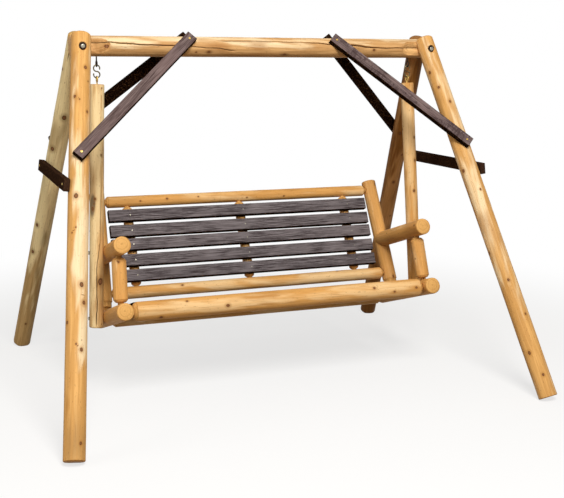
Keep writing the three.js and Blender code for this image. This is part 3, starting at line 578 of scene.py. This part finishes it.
peeled_log("top_beam", creamy, 1, columns=84, more_knots=9, body="stand",
           knots=[(0.818, 10, 5), (0.087, -1, 7), (0.35, 29, 5), (0.559, 43, 4), (0.316, 31, 3)],
           cracks=[([(0.37, -46), (0.45, -40), (0.53, -36), (0.6, -28), (0.66, -27), (0.7, -24),
                     (0.76, -19), (0.8, -9), (0.9, -1), (1, 1)], 5.5, 20),
                   ([(0, -29), (0.1, -25), (0.147, -18), (0.2, -9), (0.254, -1), (0.311, 2),
                     (0.376, 9), (0.42, 24)], 5, 20)],
           # The first two bared spots pale the upper front as painted light, and the third darkens
           # the lower front along the beam as painted shade.
           bared_light_and_shade=[(0.3, -40, 45, 500, 0.8), (0.75, -45, 40, 500, 0.6), (0.5, 42, 46, 1200, -2.4)],
           # The fourth stain darkens the underside along the whole beam as painted shade.
           stains_and_shade=[(0.35, 29, 16, 34, 0.6), (0.559, 43, 14, 44, 0.65), (0.27, 45, 12, 70, 0.5),
                   (0.5, 84, 26, 1400, 0.45), (0.06, 10, 70, 90, 0.38)])

leg_marks = {
    "front_left": {
        "knots": [(0.903, 16, 6), (0.828, -43, 5), (0.82, -15, 2.5), (0.792, 32, 4.5),
                  (0.583, -26, 8), (0.509, -24, 2.5), (0.497, -45, 2.5), (0.378, 12, 7.5),
                  (0.295, -70, 5), (0.246, -13, 3), (0.234, 16, 6), (0.036, 20, 5)],
        "bared_light_and_shade": [(0.88, -20, 60, 420, -1.1), (0.5, 12, 36, 300, 1.5), (0.5, -75, 26, 500, -1.3),
                  (0.3, -52, 28, 150, -1.7), (0.25, 28, 30, 170, 1.1), (0.06, 0, 120, 260, -2.6)],
        "stains_and_shade": [(0.02, -40, 44, 190, 0.4), (0.1, 5, 90, 220, 0.2), (0.03, 40, 36, 150, 0.34)],
        "cracks": [([(0.05, 120), (0.6, 135)], 2.6, 4)]},
    "front_right": {
        "knots": [(0.897, -66, 6), (0.849, -41, 5), (0.803, -1, 5), (0.614, -69, 6.5),
                  (0.553, -3, 4), (0.389, -92, 5), (0.307, -25, 5), (0.213, 8, 4),
                  (0.117, -51, 6), (0.056, -15, 5)],
        "bared_light_and_shade": [(0.92, -20, 50, 140, 0.2), (0.75, -40, 90, 260, -0.6), (0.5, -40, 90, 300, 0.3),
                  (0.1, -20, 120, 360, -1.4)],
        "cracks": [([(0.3, 140), (0.97, 150)], 2.4, 4)]},
    "rear_left": {
        "knots": [(0.78, -5, 9), (0.682, -42, 8), (0.436, -55, 7), (0.346, -50, 7), (0.241, -90, 3),
                  (0.119, -75, 3), (0.09, -8, 4)],
        # The first spot pales the upper leg on its front-left as painted light; the second darkens
        # it towards the foot.
        "bared_light_and_shade": [(0.8, -30, 150, 460, 3.2), (0.1, -30, 150, 560, -1.9)],
        "stains_and_shade": [(0.4, 10, 30, 110, 0.5), (0.28, 5, 26, 80, 0.45)],
        "cracks": [([(0.93, -50), (0.998, -53)], 5, 8)]},
    "rear_right": {
        "knots": [(0.536, -18, 5), (0.708, -36, 5), (0.633, 8, 3)],
        # Both spots are painted light: the first pales the head, lit from above, and the second the
        # lower leg, which stands out of the shade.
        "bared_light_and_shade": [(1.0, 0, 400, 60, 3.0), (0.33, -20, 110, 300, 2.2)],
        "cracks": [([(0.2, 150), (0.9, 140)], 2.6, 4)]},
}
for number, (leg, marks) in enumerate(leg_marks.items()):
    wood = {"rear_left": olive, "rear_right": shaded_russet}.get(leg, honey)
    peeled_log(f"{leg}_leg", wood, 10 + number, columns=72, more_knots=10, body="stand",
               dome=(0, 17 * MM), **marks)


# ------------------------ dark boards
# Sawn boards, stained near black: braces and side ties screwed to the logs, and slats screwed
# to the spindles and bearers. The outer faces of all but the ties are greyed, as weathering and
# painted light; the other faces and the lower edges stay near black, as stain and painted shade.

def stained_board(name, weathered_and_lit, worn, stain, pore, rippled):
    """Stained board: near black off its outer face and along its lower edge, as stain and painted
    shade, and greyed over wavy grain on its outer face, as weathering and painted light.
    """
    material, root, surface = new_material(name)
    grain = attribute(root, "grain")
    shaded_low_edge = attribute(root, "shaded_low_edge", "Fac")
    # Grey on the outer face is weathering and painted light, and it fades near the lower edge to
    # leave a painted shade line.
    weather_and_light = attribute(root, "weather_and_light", "Fac") * rise(shaded_low_edge, 0.93, 0.83)
    wavy = noise(stretched(grain, 5, 18, 18), 1.6, 2) - 0.5
    along, across, up = split(grain)
    bend = {"X": along * 0.02, "Y": across + wavy * 0.012, "Z": up}
    bent = root.node("ShaderNodeCombineXYZ", bend)
    lines = noise(bent, 420, 3, 0.6)
    band = noise(bent, 95, 2)
    cloud = noise(stretched(grain, 3, 9, 9), 2.2, 2)
    fleck = noise(stretched(grain, 0.25, 1, 1), 420, 1)
    ripple = noise(stretched(grain, 1, 0.22, 0.22), 105, 2)
    outer = layered(paint(pore), (lines, 0.42, 0.6, 1.0, weathered_and_lit), (band, 0.5, 0.66, 0.5, pore),
                    (cloud, 0.55, 0.35, 0.35, worn),
                    (ripple, 0.44, 0.58, rise(cloud, 0.42, 0.52) * rippled, pore))
    grain_line, bare_fleck = 0x3C281C, 0x7A5638
    inner = layered(paint(stain), (lines, 0.45, 0.75, 0.4, grain_line),
                    (fleck, 0.58, 0.7, 0.7, bare_fleck))
    root.feed(surface["Base Color"], blend(weather_and_light, inner, outer))
    root.feed(surface["Roughness"], 0.55 + lines * 0.18)
    surface["Specular IOR Level"].default_value = 0.0
    uneven(root, surface, lines * 0.8 + band * 0.3, 0.4, 1 * MM)
    return material


class BoardFrame:
    """A board's middle, its length, width and thickness directions and half its sizes."""

    def __init__(self, node, outward):
        points = np.array([vert.co for vert in nodes[node].data.vertices], float)
        corners = np.unique(points.round(5), axis=0)
        self.middle = corners.mean(0)
        vectors = np.linalg.eigh(np.cov((corners - self.middle).T))[1]
        self.along, self.face = vectors[:, 2], vectors[:, 0]
        self.face *= np.sign(self.face @ np.array(outward))
        self.along *= np.sign(self.along[np.argmax(np.abs(self.along))])
        self.across = np.cross(self.face, self.along)
        self.axes = np.array([self.along, self.across, self.face])
        self.half = np.abs((corners - self.middle) @ self.axes.T).max(0)

    def world(self, local):
        return self.middle + np.asarray(local) @ self.axes


def board_mesh(place, rng):
    """A board with rounded arrises that wear a little unevenly along its length."""
    half_length, half_width, half_thick = place.half - 0.1 * MM
    steps = max(12, int(half_length / (12 * MM)))
    tip, inset = np.array([0, 0.6, 1.6]) * MM, np.array([2.2, 0.7, 0.1]) * MM
    even = np.linspace(3 * MM - half_length, half_length - 3 * MM, steps)
    along = np.concatenate([tip - half_length, even, half_length - tip[::-1]])
    inset = np.concatenate([inset, np.zeros(steps), inset[::-1]])
    columns = []
    for quarter, (side_y, side_z) in enumerate(((1, 1), (-1, 1), (-1, -1), (1, -1))):
        wear = np.convolve(rng.uniform(0, 1, len(along) + 6), np.ones(7) / 7, "valid")
        rounding = 1.8 * MM + 0.9 * MM * wear
        for angle in (quarter + np.linspace(0, 1, 5)) * pi / 2:
            columns.append(np.stack([
                along, side_y * (half_width - rounding - inset) + cos(angle) * rounding,
                side_z * (half_thick - rounding - inset) + sin(angle) * rounding], -1))
    points = np.stack(columns, 1)
    local = points.reshape(-1, 3)
    return mesh_of("board", place.world(local).tolist(), tube_faces(*points.shape[:2])), local


def dark_board(node, body, outward, seed, material, weathering_and_light=1.0):
    place = BoardFrame(node, outward)
    mesh, local = board_mesh(place, np.random.default_rng(seed))
    write_attribute(mesh, "grain", local + np.array([1.9 * seed, 0.37 * seed, 0]))
    facing = read_vectors(mesh.polygons, "normal") @ place.face
    # The outer face takes the grey of weathering and painted light; the other faces keep the
    # near-black stain as painted shade.
    write_attribute(mesh, "weather_and_light", weathering_and_light * (facing > 0.9), "FACE")
    # How near each point is to the board's lower edge, where a painted shade line darkens it.
    downward = -np.sign(place.across[2] + 0.001) / place.half[1]
    write_attribute(mesh, "shaded_low_edge", local[:, 1] * downward)
    finished(node, body, mesh, material, node + "_board", sharp=50)
    return place


brace_board = stained_board("stained_brace", 0x7A6A68, 0x877270, 0x0F0604, 0x4C3D3C, 0.1)
rippled_board = stained_board("rippled_brace", 0x857472, 0x8C7775, 0x0F0604, 0x443636, 0.75)
tie_board = stained_board("stained_tie", 0x7A6A68, 0x877270, 0x33231B, 0x4C3D3C, 0.1)
slat_board = stained_board("stained_slat", 0x847D80, 0x877F82, 0x0F0807, 0x3C3436, 0.1)
screw_spots = {"stand": [], "bench": []}


def put_screw(body, place, along, across=0.0):
    """Notes the middle of a screw's head on a board's outer face, and the way that it faces."""
    screw_spots[body].append((place.world([along, across, place.half[2]]), place.face))


in_front, behind = (0, -1, 0.4), (0, 1, 0.4)
# The weathering share greys each outer face as weathering and painted light, so the rear braces stay
# nearly black with painted shade and the ties stay brown.
for node, outward, seed, stock, weathering_and_light, from_end in (
        ("front_left_brace", in_front, 30, brace_board, 1.0, 28),
        ("front_right_brace", in_front, 32, rippled_board, 1.0, 28),
        ("rear_left_brace", behind, 34, brace_board, 0.15, 28),
        ("rear_right_brace", behind, 36, brace_board, 0.15, 28),
        ("left_side_tie", (-1, 0, 0), 48, tie_board, 0.0, 46),
        ("right_side_tie", (1, 0, 0), 49, tie_board, 0.0, 46)):
    place = dark_board(node, "stand", outward, seed, stock, weathering_and_light)
    for way in (-1, 1):
        put_screw("stand", place, way * (place.half[0] - from_end * MM))


# ------------------------ leg bolts
# One hexagon bolt clamps each pair of legs to the beam, through a washer in a counterbored
# pocket in front and a flange nut behind. Bolt bright zinc, washer and nut blackened.

def steel(name, colour, roughness, stain):
    material, root, surface = new_material(name)
    where = root.node("ShaderNodeTexCoord", {}, output="Object")
    cloud = noise(where, 180, 3, 0.6)
    root.feed(surface["Base Color"], blend(rise(cloud, 0.42, 0.68), paint(colour), paint(stain)))
    root.feed(surface["Roughness"], roughness + cloud * 0.18)
    surface["Metallic"].default_value = 1.0
    uneven(root, surface, cloud, 0.15, 0.4 * MM)
    return material


bright_zinc = steel("bright_zinc_steel", 0xA8A496, 0.28, 0x7A7564)
brassy_zinc = steel("yellow_zinc_steel", 0xDDBB68, 0.3, 0x80642E)
dull_zinc = steel("dull_zinc_steel", 0x766A4C, 0.3, 0x3E3624)
black_steel = steel("blackened_steel", 0x2B2622, 0.42, 0x4A3A2C)


def lathe_rings(rings, base, axis, columns, hexagon=()):
    """A closed mesh of rings round an axis: (radius, height) in mm. Those in hexagon have six
    sides."""
    axis = unit(np.asarray(axis, float))
    side = unit(np.cross(axis, [0.0, 0.0, 1.0] if abs(axis[2]) < 0.9 else [1.0, 0.0, 0.0]))
    other = np.cross(axis, side)
    turn = np.arange(columns) * 2 * pi / columns
    stretch = 1 / np.cos((turn + pi / 6) % (pi / 3) - pi / 6)
    points = []
    for number, (radius, height) in enumerate(rings):
        reach = radius * MM * (stretch if number in hexagon else np.ones(columns))
        points.append(np.asarray(base) + axis * height * MM
                      + np.outer(np.cos(turn) * reach, side) + np.outer(np.sin(turn) * reach, other))
    return np.concatenate(points), tube_faces(len(rings), columns)


def bored_rings(rings, base, axis, columns, hexagon=()):
    """As lathe_rings, but the last ring joins the first, which leaves a hole."""
    points, _ = lathe_rings(rings, base, axis, columns, hexagon)
    faces = np.array(tube_faces(len(rings) + 1, columns)[:-2]) % len(points)
    return points, faces.tolist()


def steel_piece(node, body, shells, material, sharp=30):
    """One piece of hardware from closed shells of (points, faces)."""
    points, faces = [], []
    for shell_points, shell_faces in shells:
        faces += [[len(points) + corner for corner in face] for face in shell_faces]
        points += np.asarray(shell_points).tolist()
    mesh = mesh_of(node + "_steel", points, faces)
    finished(node, body, mesh, material, mesh.name, sharp)


def hexagon_head(across_flats, height):
    """A bolt head's rings, with its top corners turned off, and which rings have six sides."""
    flat = across_flats / 2
    return [(flat - 0.4, 0), (flat, 0.4), (flat, height - 1.1), (flat * 0.93, height - 0.1),
            (flat * 0.9, height)], (0, 1, 2)


def box_of(node):
    low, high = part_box(node)
    return np.array(low), np.array(high), (np.array(low) + np.array(high)) / 2


bore = 6.7
washer = [(bore, 0), (18, 0), (18.6, 0.6), (18.6, 2.4), (18, 3), (bore, 3)]
flange_nut = [(bore, 0), (13.0, 0), (13.2, 1.4), (11.6, 2.3), (9.3, 2.8), (9.4, 9.6), (8.6, 10.9),
              (7.6, 11), (bore, 10.4)]
for side in ("left", "right"):
    low, high, (x, _, z) = box_of(f"{side}_leg_bolt")
    head, shank, groove, pitch, turns = 8, 5.9, 0.7, 1.2, 22
    seat = (x, low[1] + head * MM, z)
    length = (high[1] - low[1]) / MM - head
    start = length - turns * pitch
    thread = [(shank - groove * (turn % 2), start + pitch * turn) for turn in range(turns)]
    stem = [(shank, -0.2), (shank, start - 1)] + thread + [(shank - 1, length)]
    rings, hexagonal = hexagon_head(19, head)
    bolt = [lathe_rings(rings, seat, (0, -1, 0), 48, hexagonal),
            lathe_rings(stem, seat, (0, 1, 0), 24)]
    steel_piece(f"{side}_leg_bolt", "stand", bolt, bright_zinc)
    for part, rings, hexagonal in (("washer", washer, ()), ("nut", flange_nut, (4, 5))):
        node = f"{side}_leg_{part}"
        shell = bored_rings(rings, (x, box_of(node)[0][1], z), (0, 1, 0), 48, hexagonal)
        steel_piece(node, "stand", [shell], black_steel)


# ------------------------ eyes and hooks
# The bench hangs on two open hooks bent from steel wire. Each turns in a blackened screw eye
# under the beam and carries a yellow-zinc screw eye that is driven into the top of a hanger.

def wire_along(path, radii, columns=18):
    """A closed wire with round ends, swept along points without twisting."""
    path = np.asarray(path)
    tangent = np.gradient(path, axis=0)
    tangent /= np.linalg.norm(tangent, axis=1)[:, None]
    normal = np.cross(tangent[0], [0.31, 0.52, 0.79])
    turn = np.arange(columns) * 2 * pi / columns
    rings = []
    for point, direction, radius in zip(path, tangent, radii):
        normal = unit(normal - direction * (normal @ direction))
        other = np.cross(direction, normal)
        rings.append(point + radius * (np.outer(np.cos(turn), normal)
                                       + np.outer(np.sin(turn), other)))
    return np.concatenate(rings), tube_faces(len(rings), columns)


def rounded_ends(path, radius):
    """Adds short stations at both ends of a path where its wire rounds off."""
    path, step, clear, far = np.asarray(path), 0.9 * MM, 0.5 * MM, 8 * MM
    head, tail = unit(path[1] - path[0]), unit(path[-1] - path[-2])
    places, shares = (0.0, 0.35, 0.9, 1.8), [0.45, 0.72, 0.92, 1.0]
    start = [path[0] + head * step * place for place in places]
    stop = [path[-1] - tail * step * place for place in reversed(places)]
    inner = [point for point in path[1:-1]
             if ((point - start[-1]) @ head > clear or np.linalg.norm(point - path[0]) > far)
             and ((stop[0] - point) @ tail > clear or np.linalg.norm(point - path[-1]) > far)]
    shares = shares + [1.0] * len(inner) + shares[::-1]
    return start + inner + stop, [radius * share for share in shares]


def screw_eye(node, body, ring_centre, up, material):
    """An eye bent from wire: a nearly closed ring, a waist, and a threaded stem."""
    ring, wire, groove, pitch, tip, plain = 14.5, wire_radius, 0.78, 1.4, 12, 32
    up = np.asarray(up, float)
    side = np.cross([1.0, 0.0, 0.0], up)
    turns = np.radians(np.linspace(-64, 264, 60))
    loop = [ring_centre + ring * MM * (cos(turn) * side + sin(turn) * up) for turn in turns]
    shells = [wire_along(*rounded_ends(loop, wire * MM))]
    low, high, _ = box_of(node)
    length = (abs((high - low) @ up) - 2 * eye_outside) / MM + 2.5
    rings = [(0.4, length), (wire * 0.9, length - tip)]
    rings += [(wire * (1.0 if turn % 2 else groove), length - tip - pitch * (turn + 0.5))
              for turn in range(int((length - plain) / pitch))]
    rings += [(wire, rings[-1][1] - 2), (wire * 1.12, 3), (wire * 1.02, -0.8), (wire * 0.6, -2.2)]
    neck = ring_centre - up * (ring + 0.5) * MM
    shells.append(lathe_rings([(radius, -height) for radius, height in rings], neck, up, 24))
    steel_piece(node, body, shells, material, sharp=60)


eye_outside, wire_radius = 18 * MM, 3.3
for side in ("left", "right"):
    low, _, (x, y, _) = box_of(f"{side}_beam_eye")
    centre = np.array([x, y, low[2] + eye_outside])
    screw_eye(f"{side}_beam_eye", "stand", centre, (0, 0, -1), black_steel)

    x, y, z = box_of(f"{side}_s_hook")[2]
    bend, sweep = 16 * MM, radians(295)
    curve = []
    for share in np.linspace(0, 1, 90):
        way, swept = (bend if share < 0.5 else -bend), sweep * abs(1 - 2 * share)
        curve.append((x - way * sin(swept), y, z + way * (1 - cos(swept))))
    wire = wire_along(*rounded_ends(curve, wire_radius * MM))
    steel_piece(f"{side}_s_hook", f"{side}_hook", [wire], dull_zinc, 60)

    up = unit(LogFrame(merged_copy(f"{side}_hanger")).axis * (0, 1, 1))
    low, high, (x, _, _) = box_of(f"{side}_hanger_eye")
    y = high[1] - eye_outside if up[1] > 0 else low[1] + eye_outside
    centre = np.array([x, y, high[2] - eye_outside])
    screw_eye(f"{side}_hanger_eye", "bench", centre, up, brassy_zinc)


# ------------------------ hangers
# Two long straight logs, the left one paler than the rest, that carry the bench outside its
# side frames. Each is notched over the armrest and the side rail, and a drying crack runs
# down it.

straw = peeled_wood("straw_peeled_log", 0xF2D8A4, 0xDFB67A, 0x94602A, 0xE2B878, 0.48)
hanger_marks = {
    "left": {"knots": [(0.536, -25, 4), (0.495, -46, 5), (0.195, 22, 11), (0.715, 25, 3)],
             "cracks": [([(0.0, -17), (0.12, -11), (0.27, -4), (0.37, 25), (0.53, 29), (0.74, 32),
                          (0.99, 29)], 4.5, 14)],
             "bared_light_and_shade": [(0.3, -50, 30, 900, 0.7), (0.85, 0, 60, 330, 0.9), (0.15, 40, 26, 330, -2.2)],
             "stains_and_shade": [(0.5, -52, 20, 60, 0.9), (0.53, -40, 12, 40, 0.6), (0.2, 30, 22, 170, 0.5)]},
    "right": {"knots": [(0.5, 1, 5), (0.44, 58, 7), (0.407, 55, 4), (0.748, 27, 4),
                        (0.641, 22, 4.5)],
              "bared_light_and_shade": [(0.9, 0, 90, 200, 0.9), (0.45, 0, 90, 500, -0.5)],
              "cracks": [([(0.05, 120), (0.9, 130)], 2.4, 4)]},
}
for number, (side, marks) in enumerate(hanger_marks.items()):
    peeled_log(f"{side}_hanger", (straw, tan)[number], 50 + number, columns=60, more_knots=7,
               slot="pale_log", **marks)


# ------------------------ side frames
# Peeled logs: a side rail, an armrest, an arm post and a back post on each side. The posts'
# ends are tapered to shoulders with round tenons, and the armrest is coped to the back post.

frame_knots = {"left_arm_post": [(0.791, -16, 3.5), (0.809, -27, 2)],
               "right_back_post": [(0.838, 60, 4), (0.53, 38, 5), (0.124, 10, 5)]}
# The side rail and armrest spots darken the left-facing side of each along its length, as painted
# shade.
frame_bared_light_and_shade = {"side_rail": [(0.5, -90, 70, 900, -1.5)], "armrest": [(0.5, -90, 70, 900, -1.5)],
               "back_post": [(0.9, 0, 120, 260, -1.2)]}
frame_columns = {"side_rail": 66, "armrest": 66, "arm_post": 56, "back_post": 64}
for first_seed, side in ((61, "left"), (71, "right")):
    for number, (piece, columns) in enumerate(frame_columns.items()):
        node = f"{side}_{piece}"
        peeled_log(node, tan, first_seed + number, columns, more_knots=3,
                   collar=27 * MM if piece == "back_post" else 0,
                   knots=frame_knots.get(node, ()), bared_light_and_shade=frame_bared_light_and_shade.get(piece, ()))


# ------------------------ cross logs
# The front and rear seat logs and the two back rails run between the side frames. Their
# ends are rounded down to tenons that sit in the side rails and the back posts.

cross_marks = {
    "front_seat_log": {
        "knots": [(0.794, -35, 4.5), (0.863, -1, 4), (0.941, -15, 4.5), (0.311, -5, 6),
                  (0.189, -54, 4)],
        # The third bared spot darkens the lower front along the whole log as painted shade.
        "bared_light_and_shade": [(0.25, -10, 40, 600, 1.1), (0.8, -20, 40, 500, 0.6), (0.4, 44, 34, 1200, -1.4)]},
    "rear_seat_log": {},
    "top_back_rail": {
        "knots": [(0.232, -21, 4), (0.342, -27, 3), (0.517, 7, 3), (0.655, 9, 3), (0.14, -9, 3)],
        "bared_light_and_shade": [(0.3, -10, 60, 700, -0.5)]},
    "lower_back_rail": {
        "knots": [(0.251, -48, 4)], "stains_and_shade": [(0.15, 20, 30, 260, 0.4)],
        "bared_light_and_shade": [(0.8, -30, 30, 200, 1.0)]},
}
for number, (node, marks) in enumerate(cross_marks.items()):
    peeled_log(node, tan, 90 + number, columns=64, more_knots=7, **marks)


# ------------------------ spindles and bearers
# Thin poles, planed flat on one side: three upright between the back rails, and three
# from the front log to the rear log under the seat.

pole_names = ("left", "middle", "right")
for number, name in enumerate(pole_names):
    for pole, first_seed in (("back_spindle", 100), ("seat_bearer", 110)):
        peeled_log(f"{name}_{pole}", tan, first_seed + number, columns=44, more_knots=2)


# ------------------------ slats
# Five dark boards across the back and five across the seat, cut from the braces' stock. One
# screw holds a back slat at each spindle, and two hold a seat slat at each bearer.

for kind, outward, seed, pole, sideways in (
        ("back", (0, -1, 0.3), 120, "back_spindle", (0,)),
        ("seat", (0, 0, 1), 130, "seat_bearer", (-15 * MM, 15 * MM))):
    for number in range(1, 6):
        place = dark_board(f"{kind}_slat_{number}", "bench", outward, seed + number, slat_board)
        for name in pole_names:
            x = box_of(f"{name}_{pole}")[2][0] - place.middle[0]
            for across in sideways:
                put_screw("bench", place, x * np.sign(place.along[0]), across)


# ------------------------ lag bolts
# Hexagon lag bolts, bright zinc, two through each hanger: one into the armrest and one into
# the side rail. Each head sits on a spot face.

for side, outward in (("left", -1), ("right", 1)):
    for where in ("arm", "rail"):
        node = f"{side}_{where}_lag_bolt"
        cad = merged_copy(node)
        points = np.array([vert.co for vert in cad.verts])
        cad.free()
        direction = np.linalg.eigh(np.cov((points - points.mean(0)).T))[1][:, 2]
        direction *= np.sign(direction[0]) * outward
        reach = (points - points.mean(0)) @ direction
        head, core, shank, pitch = 7, 3.7, 4.7, 2
        seat = points[reach > reach.max() - 0.2 * MM].mean(0) - direction * head * MM
        length = (reach.max() - reach.min()) / MM - head
        stem = [(shank, -0.2), (shank, length * 0.4)]
        stem += [(shank if turn % 2 else core, length * 0.4 + 1 + pitch * turn)
                 for turn in range(int(length * 0.5 / pitch))]
        stem += [(3, length - 4), (0.4, length - 0.3)]
        rings, hexagonal = hexagon_head(16, 6.9)
        bolt = [lathe_rings(rings, seat, direction, 48, hexagonal),
                lathe_rings(stem, seat, -direction, 24)]
        steel_piece(node, "bench", bolt, bright_zinc)


# ------------------------ wood screws
# Countersunk cross-recess screws: large ones, yellow with zinc, at the ends of the braces and
# ties, and small bright ones where the slats cross the poles. Each is turned home to its own
# angle.

def screw_tree(material):
    tree = bpy.data.node_groups.new("wood_screws", "GeometryNodeTree")
    face = tree.interface
    face.new_socket("Places", in_out="INPUT", socket_type="NodeSocketGeometry")
    sizes = {name: face.new_socket(name, in_out="INPUT", socket_type="NodeSocketFloat")
             for name in ("Head radius", "Head height", "Recess width")}
    face.new_socket("Screws", in_out="OUTPUT", socket_type="NodeSocketGeometry")
    given = tree.nodes.new("NodeGroupInput")
    root = Shade(tree)
    radius, height, recess = (Shade(tree, given.outputs[name]) for name in sizes)

    def cone(top, bottom, depth):
        sizes = {"Vertices": 20, "Radius Top": top, "Radius Bottom": bottom, "Depth": depth}
        return root.node("GeometryNodeMeshCone", sizes, "Mesh")

    def raised(geometry, height):
        lift = root.node("ShaderNodeCombineXYZ", {"Z": height})
        return root.node("GeometryNodeTransform", {"Geometry": geometry, "Translation": lift})

    head = cone(radius * 0.86, radius, height)
    shank = raised(cone(radius * 0.96, radius * 0.35, height * 3), height * -2.9)
    wide = radius * 1.15
    for x, y in ((wide, recess), (recess, wide)):
        size = root.node("ShaderNodeCombineXYZ", {"X": x, "Y": y, "Z": height * 1.4})
        bar = raised(root.node("GeometryNodeMeshCube", {"Size": size}, "Mesh"), height * 1.05)
        head = root.node("GeometryNodeMeshBoolean", {0: head, 1: bar}, operation="DIFFERENCE")
    whole = tree.nodes.new("GeometryNodeJoinGeometry")
    for part in (shank, head):
        tree.links.new(part.socket, whole.inputs[0])
    any_turn = {2: 0.0, 3: 3.14, "Seed": 5}
    spin = root.node("FunctionNodeRandomValue", any_turn, output=1, data_type="FLOAT")
    out = root.node("GeometryNodeInputNamedAttribute", {"Name": "out"}, data_type="FLOAT_VECTOR")
    upright = root.node("FunctionNodeAlignRotationToVector", {"Vector": out}, axis="Z")
    own = root.node("FunctionNodeAxisAngleToRotation", {"Axis": (0, 0, 1), "Angle": spin})
    both = {"Rotation": upright, "Rotate By": own}
    turned = root.node("FunctionNodeRotateRotation", both, rotation_space="LOCAL")
    placed = root.node("GeometryNodeInstanceOnPoints", {
        "Points": Shade(tree, given.outputs["Places"]), "Instance": Shade(tree, whole.outputs[0]),
        "Rotation": turned})
    real = root.node("GeometryNodeRealizeInstances", {"Geometry": placed})
    coated = root.node("GeometryNodeSetMaterial", {"Geometry": real, "Material": material})
    result = tree.nodes.new("NodeGroupOutput")
    tree.links.new(coated.socket, result.inputs[0])
    return tree, {name: socket.identifier for name, socket in sizes.items()}


screw_looks = {"stand": (brassy_zinc, 6.0 * MM), "bench": (bright_zinc, 3.3 * MM)}
for body, spots in screw_spots.items():
    material, head_radius = screw_looks[body]
    screws, screw_sizes = screw_tree(material)
    places = mesh_of("screw_places", [tuple(spot) for spot, _ in spots], [])
    write_attribute(places, "out", [tuple(out) for _, out in spots])
    maker = linked("screw_places", places)
    setting = maker.modifiers.new("screws", "NODES")
    setting.node_group = screws
    for name, size in (("Head radius", head_radius), ("Head height", 0.9 * MM),
                       ("Recess width", 0.3 * head_radius)):
        setting[screw_sizes[name]] = size
    piece = shaded(f"{body}_wood_screws", built_mesh(maker), 30)
    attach(piece, body)


# ------------------------ floor, light and camera
# A plain pale floor under a white surround, one large soft light from above and in front,
# a weaker one from the left, and the camera.

def white_to_the_eye(root):
    """1 where the surround should look white: to the camera, and in gloss and glass."""
    path = root.node("ShaderNodeLightPath", {}).socket.node
    rays = ("Is Camera Ray", "Is Glossy Ray", "Is Transmission Ray")
    camera, gloss, glass = (Shade(root.tree, path.outputs[name]) for name in rays)
    return camera.math("MAXIMUM", camera.math("MAXIMUM", camera, gloss), glass)


corners = [(-60, -60, 0), (60, -60, 0), (60, 60, 0), (-60, 60, 0)]
floor = linked("floor", mesh_of("floor", corners, [(0, 1, 2, 3)]))
material, root, surface = new_material("pale_floor")
tree = material.node_tree
eye = white_to_the_eye(root)
surface["Base Color"].default_value = (0.24, 0.2, 0.16, 1)
surface["Roughness"].default_value = 0.9
lit = Shade(tree, tree.nodes["Principled BSDF"].outputs[0])
catcher = root.node("ShaderNodeBsdfDiffuse", {"Color": (0.9, 0.9, 0.9, 1)})
glow = root.node("ShaderNodeEmission", {"Color": (1, 1, 1, 1), "Strength": 1.0})
across, back, _ = split(root.node("ShaderNodeTexCoord", {}, output="Object"))
away = (across * across + back * back) ** 0.5
paleness = 0.72 + rise(away, 1.6, 4.0) * 0.28
pale = root.node("ShaderNodeMixShader", {0: paleness, 1: catcher, 2: glow})
both = root.node("ShaderNodeMixShader", {0: eye, 1: lit, 2: pale})
root.feed(tree.nodes["Material Output"].inputs["Surface"], both)
floor.data.materials.append(material)

world = bpy.data.worlds.new("white_surround")
bpy.context.scene.world = world
world.use_nodes = True
root = Shade(world.node_tree)
eye = white_to_the_eye(root)
background = world.node_tree.nodes["Background"].inputs
ambient = 0.17
root.feed(background["Color"], blend(eye, (1.0, 0.9, 0.76, 1), (1, 1, 1, 1)))
root.feed(background["Strength"], eye * (1 - ambient) + ambient)


def soft_light(name, position, target, size, watts, colour):
    light = bpy.data.lights.new(name, "AREA")
    light.shape, light.size, light.energy, light.color = "DISK", size, watts, colour
    lamp = linked(name, light)
    lamp.location = position
    lamp.rotation_euler = (Vector(target) - Vector(position)).to_track_quat("-Z", "Y").to_euler()


daylight = (1.0, 0.98, 0.94)
soft_light("key_light", (-0.9, -5.4, 5.7), (0, 0, 0.8), 3.2, 550, daylight)
soft_light("left_light", (-6.0, -1.5, 2.6), (0, 0, 0.9), 3.0, 60, daylight)

standpoint, yaw, pitch, roll = (-2.0306, -5.3933, 1.8279), 0.3815, 0.1917, 0.009
forward = Vector((sin(yaw) * cos(pitch), cos(yaw) * cos(pitch), -sin(pitch)))
right = Vector((cos(yaw), -sin(yaw), 0))
above = right.cross(forward)
tilted_right = right * cos(roll) + above * sin(roll)
tilted_above = above * cos(roll) - right * sin(roll)
lens = bpy.data.cameras.new("camera")
lens.sensor_width = 36
lens.lens = 66.93
lens.clip_end = 200
camera = linked("camera", lens)
turn = Matrix((tilted_right, tilted_above, -forward)).transposed().to_4x4()
camera.matrix_world = Matrix.Translation(standpoint) @ turn
bpy.context.scene.camera = camera
bpy.context.scene.view_settings.view_transform = "Standard"
